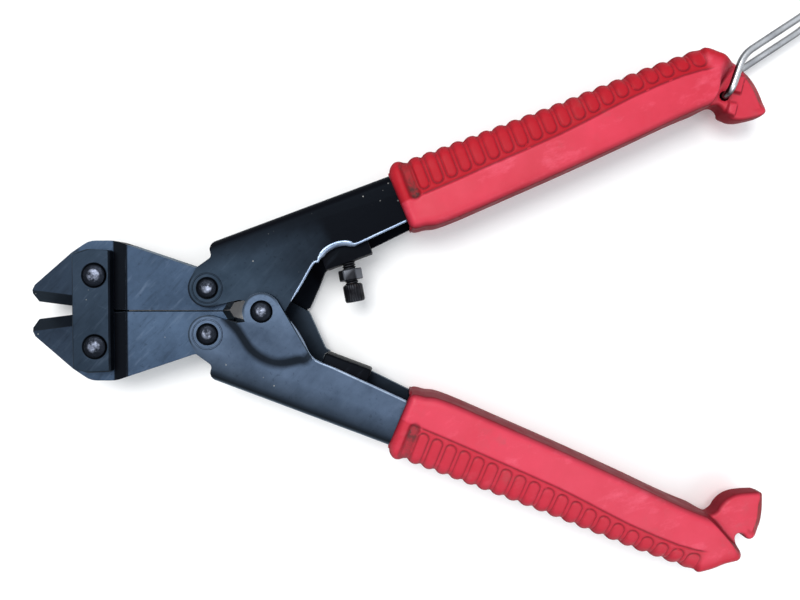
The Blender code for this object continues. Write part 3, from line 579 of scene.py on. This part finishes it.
BARS = [((146.9, 13.1), 2.3, 1.0), ((142.9, 7.3), 1.7, 0.85)]           # centre, half length, height
BAR_TURN, BAR_WIDTH, BAR_EDGE = math.radians(56), 1.2, 0.8
TIP = {"upper": ((148.2, 2.4), (3.0, 4.0)), "lower": ((150.4, 1.0), (12.2, -3.5))}  # from and over X, Y
HOLE, HOLE_RADIUS = (142.5, 11.5), 1.4       # the latch wire's hole in the upper grip
POCKET_Y, POCKET_REACH, POCKET_TALL, POCKET_DEPTH = 15.4, 8.35, 6.0, 9.0
POCKET_DIRT = 0.2
STEP = 0.12                  # spacing of the points on the grips' outlines
COLUMNS, ROWS = 440, 78


def smooth_line(points, step):
    """Points at even spacing on a smooth curve through the given ones."""
    fine = []
    count = len(points)
    for i in range(count - 1):
        a, b, c, d = (np.array(points[min(max(i + k, 0), count - 1)], float) for k in (-1, 0, 1, 2))
        for t in np.linspace(0, 1, 12, endpoint=False):
            fine.append((2 * b + (c - a) * t + (2 * a - 5 * b + 4 * c - d) * t * t
                         + (3 * b - a - 3 * c + d) * t ** 3) / 2)
    fine.append(np.array(points[-1], float))
    fine = np.array(fine)
    run = np.concatenate([[0], np.cumsum(np.hypot(*np.diff(fine, axis=0).T))])
    places = np.linspace(0, run[-1], max(2, int(run[-1] / step)))
    return np.column_stack([np.interp(places, run, fine[:, k]) for k in (0, 1)])


def ridge_share(x):
    """How far along the row of ridges a place is, counted in ridges."""
    share = np.clip((np.asarray(x, float) - FIRST) / (LAST - FIRST), -0.2, 1.2)
    a, b = GROWTH / 2, 1 - GROWTH / 2
    return SCALLOPS * (-b + np.sqrt(b * b + 4 * a * share)) / (2 * a)


def outer_line(half):
    """A grip's outer edge from the collar over the ridges to the tip."""
    xs = np.arange(FIRST, LAST, STEP)
    count = ridge_share(xs)
    wave = np.abs(np.sin(np.pi * count))
    base = np.interp(xs, [FIRST, 70, 95, 122, LAST], [24.75, 24.75, 24.85, 25.55, 25.35])
    ys = base + 0.85 * wave ** 0.85 * np.clip(1.15 - 0.25 * count / SCALLOPS, 0, 1)
    start = smooth_line(OUTER_START + [(FIRST, 24.9)], STEP)[:-1]
    end = smooth_line([(LAST, 25.45)] + OUTER_TAB[half], STEP)
    return np.concatenate([start, np.column_stack([xs, ys]), end])


def run_of(line):
    """How far along a line each of its points is."""
    return np.concatenate([[0], np.cumsum(np.hypot(*np.diff(line, axis=0).T))])


def nearest_run(line, run, point):
    """How far along a line its nearest point to a given one is."""
    return run[np.argmin(np.hypot(line[:, 0] - point[0], line[:, 1] - point[1]))]


# Pairs of places, one on the inner line and one on the outer, that a column of points joins
TIES = {
    "upper": [((54.0, 5.2), (54.0, 25.0)), ((95.0, 7.35), (95.0, 25.0)), ((130.0, 10.0), (131.0, 25.8)),
              ((139.3, 10.1), (144.4, 21.8)), ((143.3, 5.6), (150.2, 17.2)), ((148.0, 3.6), (152.8, 7.8))],
    "lower": [((54.0, 5.2), (54.0, 25.0)), ((95.0, 7.35), (95.0, 25.0)), ((130.0, 10.0), (131.0, 25.8)),
              ((139.3, 10.1), (144.5, 21.9)), ((141.4, 6.3), (149.4, 18.1)), ((143.8, 3.2), (149.0, 13.0)),
              ((147.8, 0.9), (152.4, 12.9)), ((149.0, 0.2), (154.4, 7.4))]}


def distance_to(line, points):
    """Distance from each point to an open polyline, in numpy."""
    a, b = line[:-1], line[1:]
    d = b - a
    size = np.maximum((d ** 2).sum(1), 1e-12)
    best = np.full(len(points), 1e9)
    for start in range(0, len(points), 3000):
        p = points[start:start + 3000, None, :]
        t = np.clip(((p - a) * d).sum(2) / size, 0, 1)
        away = np.hypot(*(np.moveaxis(p - a - d * t[..., None], 2, 0)))
        best[start:start + 3000] = away.min(1)
    return best


def soft_step(x):
    """Zero up to nought, one from one on, and a smooth rise between."""
    x = np.clip(x, 0, 1)
    return x * x * (3 - 2 * x)


def side_of(line, points):
    """Signed distance to a polyline: positive on its right-hand side, seen along it."""
    line = np.array(line, float)
    away = distance_to(line, points)
    a, b = line[:-1], line[1:]
    d = b - a
    p = points[:, None, :]
    t = np.clip(((p - a) * d).sum(2) / (d ** 2).sum(1), 0, 1)
    near = np.argmin(((p - a - d * t[..., None]) ** 2).sum(2), axis=1)
    rel = points - a[near]
    cross = d[near, 0] * rel[:, 1] - d[near, 1] * rel[:, 0]
    return np.where(cross < 0, away, -away)


def lump(points, centre, turn, half_length, half_width, edge, rounded=False):
    """A rounded bar's height share, one on top and falling to nothing round it."""
    c, s = math.cos(turn), math.sin(turn)
    rel = points - np.array(centre)
    along = np.abs(rel[:, 0] * c + rel[:, 1] * s) - half_length
    across = np.abs(-rel[:, 0] * s + rel[:, 1] * c) - half_width
    away = np.maximum(along, across)
    if rounded:
        away = np.hypot(np.maximum(along + half_width, 0), across + half_width) - half_width
    return 1 - soft_step(away / edge + 0.5)


def ridged_band(p, line):
    """Which points lie on the ridged band, and how far out they lie across it."""
    x, y = p.T
    share = soft_step((y - line) / BAND_BLUR + 0.5) * soft_step((BAND_END - x) / BAND_END_BLUR)
    top = np.interp(x, *BAND_TOP)
    return share, np.clip((y - line) / np.maximum(top - line, 1), 0, 1)


def ridges(p, line):
    """A U-shaped groove round each ridge, open towards the outer edge, and the pillow inside it."""
    x, y = p.T
    count = ridge_share(x)
    pitch = 1 / np.maximum(ridge_share(x + 0.5) - ridge_share(x - 0.5), 1e-6)
    across = (count - np.floor(count) - 0.5) * pitch
    reach = RIDGE_REACH * pitch
    foot = line + RIDGE_FOOT + reach
    below = y < foot
    from_foot = np.hypot(across, y - foot)
    away = np.where(below, np.abs(from_foot - reach), np.abs(np.abs(across) - reach))
    inside = np.where(below, from_foot, np.abs(across)) / reach
    in_row = (count > 0.0) & (count < SCALLOPS)
    return np.exp(-(away / RIDGE_GROOVE) ** 2) * in_row, np.clip(1 - inside ** 2, 0, 1) * in_row


def thin_end(half, p):
    """The face of the grip's thin end, and which points lie on it."""
    x, y = p.T
    side = side_of(SHOULDER[half], p)
    extra, start, over = SHOULDER_SPREAD[half]
    share = soft_step(side / (SHOULDER_WIDTH + extra * soft_step((y - start) / over)) + 0.5)
    face = np.full(len(p), TONGUE)
    if half == "upper":
        for centre, length, tall in BARS:
            face += tall * lump(p, centre, BAR_TURN, length, BAR_WIDTH, BAR_EDGE)
        face -= 0.25 * (1 - soft_step((np.hypot(x - HOLE[0], y - HOLE[1]) - 1.5) / 0.7))
    face -= 0.18 * np.exp(-((side - 1.2) / 0.5) ** 2)
    return face, share


def rim_drop(p, edge, on_tongue, tip):
    """How far the face falls at its rounded rims, which are wider and flatter at the tip."""
    width = (2.3 + 0.7 * soft_step((p[:, 1] - 18) / 4)) * (1 - on_tongue) + on_tongue * (1.1 + 1.2 * tip)
    drop = 2.2 * (1 - on_tongue) + on_tongue * (1.5 + 0.4 * tip)
    bend = np.clip(1 - edge / width, 0, 1)
    round_rim = 1 - np.sqrt(np.clip(1 - bend ** 2, 0, 1))
    return drop * (round_rim * (1 - on_tongue * tip) + bend * on_tongue * tip)


def relief(half, p, edge):
    """A grip face's height, its dirt and its painted shade, at points in the handle's frame."""
    x, y = p.T
    line = np.interp(x, *np.array(GROOVE).T)
    on_band, rise = ridged_band(p, line)
    groove, pillow = ridges(p, line)
    groove, pillow = groove * on_band, pillow * on_band
    recess = lump(p, *RECESS)
    furrow = np.exp(-((y - line) / 0.34) ** 2) * soft_step((x - 51.0) / 3) * soft_step((140.5 - x) / 4)
    bead = np.exp(-((x - BEAD[0]) / BEAD[1]) ** 2)
    height = FACE - CROWN * soft_step((y - line + 7) / 7) * (1 - on_band)
    height -= on_band * (BAND_STEP + BAND_FALL * rise ** 1.7)
    height += 0.14 * pillow * (0.45 + 0.55 * rise) - 0.46 * groove * (1 - 0.45 * rise)
    height += BEAD[2] * bead - RECESS_DEPTH * recess - FURROW_DEPTH * furrow
    face, on_tongue = thin_end(half, p)
    height = height * (1 - on_tongue) + face * on_tongue
    (tip_x, tip_run), (tip_y, tip_rise) = TIP[half]
    tip = soft_step((x - tip_x) / tip_run) * soft_step((y - tip_y) / tip_rise)
    height -= rim_drop(p, edge, on_tongue, tip)
    rim = on_tongue * tip * soft_step((2.5 - edge) / 0.6)
    grime = np.clip(groove * 0.35 + furrow * 0.15, 0, 1) * soft_step((75 - x) / 30)
    grime = grime + recess * (0.5 + 0.5 * soft_step((21 - y) / 5)) + 0.5 * rim
    # Painted shade: the ridged band, the outer edge near the grip's end and the tip's rim are darker
    beyond = soft_step((x - 136.5) / 2) * soft_step((4.2 - edge) / 3.2) * soft_step((y - 14) / 3)
    dark = np.maximum(on_band, beyond * (1 - on_tongue)) * BAND_SHARE[half]
    return height, np.clip(grime, 0, 1), np.maximum(dark, rim)


def grip_plan(half):
    """The grip's plan as columns from the inner line to the outer one, and the outline round them."""
    inner = smooth_line(INNER + INNER_TAB[half], STEP)
    outer = outer_line(half)
    inner_run, outer_run = run_of(inner), run_of(outer)
    knots = [(0.0, 0.0)]
    for a, b in TIES[half]:
        knots.append((nearest_run(inner, inner_run, a), nearest_run(outer, outer_run, b)))
    knots.append((inner_run[-1], outer_run[-1]))
    knots = np.array(knots)
    places = np.linspace(0, outer_run[-1], COLUMNS)
    partner = np.interp(places, knots[:, 1], knots[:, 0])
    high = np.column_stack([np.interp(places, outer_run, outer[:, k]) for k in (0, 1)])
    low = np.column_stack([np.interp(partner, inner_run, inner[:, k]) for k in (0, 1)])
    # Rows are close together at both rims and over the ridged band
    grid = np.linspace(0, 1, 400)
    density = 1 + 5 * np.exp(-(grid / 0.05) ** 2) + 6 * np.exp(-((1 - grid) / 0.045) ** 2)
    density += 1.6 * soft_step((grid - 0.38) / 0.08)
    share = np.concatenate([[0], np.cumsum((density[1:] + density[:-1]) / 2)])
    v = np.interp(np.linspace(0, 1, ROWS), share / share[-1], grid)
    plan = low[:, None, :] * (1 - v)[None, :, None] + high[:, None, :] * v[None, :, None]
    return plan, np.concatenate([low, high[::-1], low[:1]])


def pocket_ring(mouth):
    """The ring of the pocket that the handle runs into, point for point with the mouth's."""
    ys = [p[1] for p in mouth]
    middle, reach = (min(ys) + max(ys)) / 2, (max(ys) - min(ys)) / 2
    tall = max(p[2] for p in mouth)
    return [(p[0], POCKET_Y + (p[1] - middle) / reach * POCKET_REACH, p[2] / tall * POCKET_TALL)
            for p in mouth]


def make_grip(half):
    """A hollow grip: rings round its section, joined along it, with a pocket at the mouth."""
    plan, outline = grip_plan(half)
    flat = plan.reshape(-1, 2)
    edge = distance_to(outline, flat).reshape(COLUMNS, ROWS)
    edge[:, 0] = edge[:, -1] = 0
    edge[0, :] = 0
    height, grime, band = (a.reshape(COLUMNS, ROWS) for a in relief(half, flat, edge.reshape(-1)))
    ring = 2 * ROWS + 2
    verts, dirt, ridged = [], [], []
    for i in range(COLUMNS):
        ridged += list(band[i]) + [1] + list(band[i][::-1]) + [0]
        dirt += list(grime[i]) + [0] + list(grime[i][::-1]) + [0]
        verts += [(plan[i, k, 0], plan[i, k, 1], height[i, k]) for k in range(ROWS)]
        verts.append((plan[i, -1, 0], plan[i, -1, 1], 0))
        verts += [(plan[i, k, 0], plan[i, k, 1], -height[i, k]) for k in range(ROWS - 1, -1, -1)]
        verts.append((plan[i, 0, 0], plan[i, 0, 1], 0))
    pocket = pocket_ring(verts[:ring])
    offset = len(verts)
    for depth in (0.0, POCKET_DEPTH):
        verts += [(p[0] + depth, p[1], p[2]) for p in pocket]
        dirt += [POCKET_DIRT] * ring
        ridged += [0] * ring
    faces = skin(COLUMNS, ring) + join(0, offset, ring) + join(offset, offset + ring, ring)
    faces.append(tuple(range(offset + ring, offset + 2 * ring)))
    faces.append(tuple(range((COLUMNS - 1) * ring, COLUMNS * ring)))
    grip = mesh_object(f"{half}_grip_sleeve", verts, faces, MAT_VINYL)
    # 'band' holds the painted shade from relief, 'grime' the dirt
    for name, values in (("grime", dirt), ("band", ridged)):
        layer = grip.data.attributes.new(name, "FLOAT", "POINT")
        layer.data.foreach_set("value", np.array(values, np.float32))
    return grip


def drill(obj, spot, radius, material):
    """Drill a round hole along Z through a mesh, at a place in millimetres."""
    work = bmesh.new()
    bmesh.ops.create_cone(work, cap_ends=True, segments=40, radius1=radius * MM, radius2=radius * MM,
                          depth=40 * MM)
    bmesh.ops.translate(work, verts=work.verts, vec=Vector((spot[0], spot[1], 0)) * MM)
    mesh = bpy.data.meshes.new("drill")
    work.to_mesh(mesh)
    work.free()
    mesh.materials.append(material)
    cutter = link(bpy.data.objects.new("drill", mesh))
    cut = obj.modifiers.new("drill", "BOOLEAN")
    cut.solver = "EXACT"
    cut.object = cutter
    bpy.context.view_layer.update()
    graph = bpy.context.evaluated_depsgraph_get()
    made = bpy.data.meshes.new_from_object(obj.evaluated_get(graph))
    obj.modifiers.clear()
    obj.data = made
    bpy.data.objects.remove(cutter, do_unlink=True)


for half in ("upper", "lower"):
    sleeve = make_grip(half)
    if half == "upper":
        drill(sleeve, HOLE, HOLE_RADIUS, MAT_VINYL)
    settle(sleeve, handle_place(half), f"{half}_handle")
    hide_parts(f"{half}_grip")


# ---------------------------------------------------------------- latch wire

WIRE = 1.0                   # radius
WIRE_BEND = 3.0
LEG = 6.0                    # height of each leg above the middle plane
FIRST_RUN = (10.4, math.radians(67.5))       # length and direction
SECOND_RUN = (37.0, math.radians(33.4))
FAR_BEND = 0.7               # share of the second run where the legs start to close
SKEW = {1: 1.0, -1: -2.3}    # how far each leg stands aside


def rounded_path(corners, radius, steps):
    """A closed path through the corners, each one rounded off."""
    path = []
    for i, here in enumerate(corners):
        back = corners[i - 1] - here
        on = corners[(i + 1) % len(corners)] - here
        cut = min(radius, back.length * 0.45, on.length * 0.45)
        first, last = here + back.normalized() * cut, here + on.normalized() * cut
        for k in range(steps + 1):
            t = k / steps
            path.append(first * (1 - t) ** 2 + here * 2 * t * (1 - t) + last * t ** 2)
    return path


def direction(angle):
    """A unit vector in the XY plane."""
    return Vector((math.cos(angle), math.sin(angle), 0))


def tube(name, path, radius, sides, material, closed=True):
    """A round wire swept along a path in millimetres, without twist."""
    count = len(path)
    radii = [radius] * count if isinstance(radius, float) else radius
    verts, faces = [], []
    normal = None
    for i, here in enumerate(path):
        if closed:
            along = (path[(i + 1) % count] - path[i - 1]).normalized()
        else:
            along = (path[min(i + 1, count - 1)] - path[max(i - 1, 0)]).normalized()
        if normal is None:
            normal = along.orthogonal().normalized()
        normal = (normal - along * normal.dot(along)).normalized()
        other = along.cross(normal)
        for k in range(sides):
            a = math.tau * k / sides
            verts.append(here + (normal * math.cos(a) + other * math.sin(a)) * radii[i])
    last = count if closed else count - 1
    shift = 0
    if closed:
        start = [verts[k] for k in range(sides)]
        end = verts[(count - 1) * sides]
        shift = min(range(sides), key=lambda k: (start[k] - end).length)
    for i in range(last):
        turn = shift if closed and i == count - 1 else 0
        for k in range(sides):
            j = (k + 1) % sides
            n = (i + 1) % count
            faces.append((i * sides + k, i * sides + j, n * sides + (j + turn) % sides,
                          n * sides + (k + turn) % sides))
    if not closed:
        faces.append(tuple(range(sides))[::-1])
        faces.append(tuple(range((count - 1) * sides, count * sides)))
    return mesh_object(name, [tuple(v) for v in verts], faces, material)


def make_latch():
    """The latch's wire, up one leg, across the far end and down the other, through the hole."""
    first, turn = FIRST_RUN
    second, run = SECOND_RUN
    corners = []
    for side in (1, -1):
        skew = direction(run + math.pi / 2) * SKEW[side]
        height = Vector((0, 0, LEG * side))
        bend = direction(turn) * first + height + skew
        far = direction(run) * second
        leg = [height, bend, bend + far * FAR_BEND, bend + far - skew]
        corners += leg if side > 0 else leg[::-1]
    return tube("latch_wire", rounded_path(corners, WIRE_BEND, 10), WIRE, 20, MAT_ZINC)


hole = Matrix.Rotation(ANGLE, 3, "Z") @ Vector((*HOLE, 0))
latch = make_latch()
settle(latch, Matrix.Translation((hole.x * MM, hole.y * MM, MIDDLE * MM)), "latch_bail")
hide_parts("latch_bail")


# ---------------------------------------------------------------- stop screw

SCREW_POINT = Vector((26.1, 1.35, 0))
SCREW_LEAN = math.radians(10.0)
HEAD_TIP = 8.0
HEAD = (2.85, 5.2)           # radius and height
KNURL = 0.09
SOCKET, SOCKET_DEPTH = 1.45, 2.4             # half its width across the flats
THREAD = (1.55, 2.0, 0.7)    # root and crest radius, pitch
THREAD_LENGTH = 15.0
SUNK = 0.3                   # how far the shank runs up into the head


def screw_place():
    """The screw's frame: its head's tip along +Z, in metres."""
    lean = Matrix.Rotation(-math.pi / 2 - SCREW_LEAN, 4, "Z")
    stand = Matrix.Rotation(math.pi / 2, 4, "Y")
    return handle_place("upper") @ Matrix.Translation(SCREW_POINT * MM) @ lean @ stand


def make_thread():
    """The screw's threaded shank as one helical surface with closed ends."""
    root, crest, pitch = THREAD
    top = HEAD_TIP - HEAD[1] + SUNK
    length = THREAD_LENGTH + SUNK
    around, per_turn = 36, 8
    rows = int(length / pitch * per_turn)
    verts = []
    for i in range(rows + 1):
        down = i * length / rows
        for k in range(around):
            turn = k / around
            phase = (down / pitch + turn) % 1.0
            ridge = 1 - abs(phase * 2 - 1)
            taper = min(1, length - down)
            radius = root + (crest - root) * ridge * taper
            a = math.tau * turn
            verts.append((radius * math.cos(a), radius * math.sin(a), top - down))
    faces = skin(rows + 1, around)
    faces.append(tuple(range(around)))
    faces.append(tuple(range(rows * around, (rows + 1) * around))[::-1])
    return mesh_object("stop_screw_thread", verts, faces, MAT_SCREW)


def make_head():
    """The screw's round head with a fine knurl and a hexagonal socket."""
    radius, height = HEAD
    around = 96
    profile = [(radius - 0.9, 0), (radius - 0.35, 0.08), (radius - 0.1, 0.35), (radius, 0.8), (radius, 1.6),
               (radius, 2.6), (radius, 3.6), (radius, height - 0.7), (radius - 0.15, height - 0.3),
               (radius - 0.6, height), (THREAD[1] - 0.2, height)]
    verts = []
    for i, (r, down) in enumerate(profile):
        for k in range(around):
            a = math.tau * k / around
            cut = KNURL if 2 <= i <= 8 and k % 4 < 2 else 0.0
            at = r - cut
            verts.append((at * math.cos(a), at * math.sin(a), HEAD_TIP - down))
    start = len(verts)
    for depth in (0.12, SOCKET_DEPTH):
        for k in range(around):
            a = math.tau * k / around
            sector = (a % (math.pi / 3)) - math.pi / 6
            r = SOCKET / math.cos(sector)
            verts.append((r * math.cos(a), r * math.sin(a), HEAD_TIP - depth))
    faces = skin(len(profile), around) + join(0, start, around) + join(start, start + around, around)
    faces.append(tuple(range(start + around, start + 2 * around)))
    faces.append(tuple(range((len(profile) - 1) * around, len(profile) * around)))
    head = mesh_object("stop_screw_head", verts, faces, MAT_SCREW)
    smooth = head.modifiers.new("smooth", "NODES")
    smooth.node_group = SMOOTH
    return head


for piece in (make_thread(), make_head()):
    settle(piece, screw_place(), "stop_screw")
    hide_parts("stop_screw")


# ---------------------------------------------------------------- small steel details

def ring_path(centre, radius, height, steps):
    """A circle of points at one height."""
    return [Vector((centre[0] + radius * math.cos(math.tau * i / steps),
                    centre[1] + radius * math.sin(math.tau * i / steps), height)) for i in range(steps)]


LINK_PIVOT = Matrix.Rotation(-ANGLE, 3, "Z") @ Vector((-15.6, 6.45, 0))
EAR_FACE = 5.7
PROUD = 0.12                 # how far the rolled edge stands out
COIN_RADIUS, COIN_DEPTH, COIN_WIRE = 4.15, 0.12, 0.26     # a ring mostly sunk into the ear
for half in ("upper", "lower"):
    for side in (1, -1):
        coin = tube(f"{half}_coined_ring_{'front' if side > 0 else 'back'}",
                    ring_path(LINK_PIVOT, COIN_RADIUS, (EAR_FACE - COIN_DEPTH) * side, 72),
                    COIN_WIRE, 10, MAT_HANDLE[half])
        settle(coin, handle_place(half), f"{half}_handle")


# The opening's edge in the handle's flange, and the run of the painted highlight on the edge before and
# after it
SCOOP = [(19.2, 7.75), (19.6, 8.3), (20.5, 9.2), (22.4, 10.2), (25.2, 10.65), (28.0, 10.2), (29.9, 9.2),
         (31.2, 8.6)]
EDGE_START, EDGE_CORNER, EDGE_END = (8.2, -0.1), (17.6, 7.6), (46.4, 9.73)
ROLL, SCOOP_ROLL = 0.38, 0.70                # radius, and how much wider it gets in the scoop


def make_roll(half):
    """The rolled edge along the inner side of a handle's front flange, coloured bright as a painted
    highlight.
    """
    front = 1 if half == "upper" else -1
    line = [EDGE_START, (12.9, 3.75), EDGE_CORNER]
    line += SCOOP if half == "upper" else [(25.0, 8.15)]
    line += [(38.0, 9.1), EDGE_END]
    line = smooth_line(line, 0.35)
    path, radii = [], []
    for x, y in line:
        in_scoop = half == "upper" and 19.4 < x < 31.0
        share = soft_step(min(x - SCOOP[0][0], SCOOP[-1][0] - x) / 1.5) if in_scoop else 0
        taper = soft_step((x - EDGE_START[0]) / 3)
        radius = (ROLL + SCOOP_ROLL * share) * (0.3 + 0.7 * taper)
        path.append(Vector((x, y, front * (EAR_FACE + PROUD - radius))))
        radii.append(radius)
    return tube(f"{half}_rolled_edge_highlight", path, radii, 12, MAT_ROLL_HIGHLIGHT, closed=False)


for half in ("upper", "lower"):
    settle(make_roll(half), handle_place(half), f"{half}_handle")


# ---------------------------------------------------------------- floor, light, camera

FLOOR = -0.0001              # just below the lowest point
FLOOR_GLOW = 0.07


def floor():
    """A plain white floor that only the renders see."""
    mesh = bpy.data.meshes.new("floor")
    size = 3.0
    corners = [(x * size, y * size, FLOOR) for x, y in ((-1, -1), (1, -1), (1, 1), (-1, 1))]
    mesh.from_pydata(corners, [], [(0, 1, 2, 3)])
    n = Nodes("floor_white", (0.93, 0.93, 0.93, 1), 0.9, 0.0)
    n.wire(n.ramp(n.noise(2.0, 2), [(0.3, 0.925), (0.7, 0.935)]), n.shader.inputs["Base Color"])
    n.put("Specular IOR Level", 0.05)
    n.put("Emission Color", (1, 1, 1, 1))
    n.put("Emission Strength", FLOOR_GLOW)
    mesh.materials.append(n.material)
    obj = link(bpy.data.objects.new("floor", mesh))


def area_light(name, spot, target, size, power, colour):
    """A rectangular light at a spot, facing a target."""
    data = bpy.data.lights.new(name, "AREA")
    data.shape = "RECTANGLE"
    data.size, data.size_y = size
    data.energy = power
    data.color = colour
    obj = link(bpy.data.objects.new(name, data))
    obj.location = spot
    obj.rotation_euler = (Vector(target) - Vector(spot)).to_track_quat("-Z", "Y").to_euler()


floor()
area_light("key", (-0.18, 0.30, 0.80), (0.03, 0, 0), (0.55, 0.45), 5.1, (1.0, 0.99, 0.97))
area_light("fill", (0.40, -0.35, 0.70), (0.03, 0, 0), (0.6, 0.5), 1.5, (0.93, 0.96, 1.0))
world = bpy.data.worlds.new("studio")
bpy.context.scene.world = world
world.use_nodes = True
sky = world.node_tree
rays = sky.nodes.new("ShaderNodeTexCoord")
split = sky.nodes.new("ShaderNodeSeparateXYZ")
climb = sky.nodes.new("ShaderNodeMapRange")
for socket, value in (("From Min", 0.10), ("From Max", 0.75), ("To Min", 0.30), ("To Max", 0.78)):
    climb.inputs[socket].default_value = value
sky.links.new(rays.outputs["Generated"], split.inputs[0])
sky.links.new(split.outputs["Z"], climb.inputs["Value"])
sky.links.new(climb.outputs["Result"], sky.nodes["Background"].inputs["Strength"])
sky.nodes["Background"].inputs["Color"].default_value = (0.92, 0.96, 1.0, 1)
bpy.context.scene.view_settings.view_transform = "Standard"

TILT = (math.radians(1.337), math.radians(-0.031), math.radians(-0.078))
EYE = Vector((38.309, 7.185, 176.014 + MIDDLE)) * MM
FOCAL = 27.49
turn = Matrix.Rotation(TILT[0], 3, "X") @ Matrix.Rotation(TILT[1], 3, "Y") @ Matrix.Rotation(TILT[2], 3, "Z")
lens = bpy.data.cameras.new("camera")
lens.sensor_width = 36
lens.lens = FOCAL
lens.clip_start = 0.001
camera = link(bpy.data.objects.new("camera", lens))
pose = turn.transposed().to_4x4()
pose.translation = EYE
camera.matrix_world = pose
bpy.context.scene.camera = camera

bpy.context.view_layer.update()
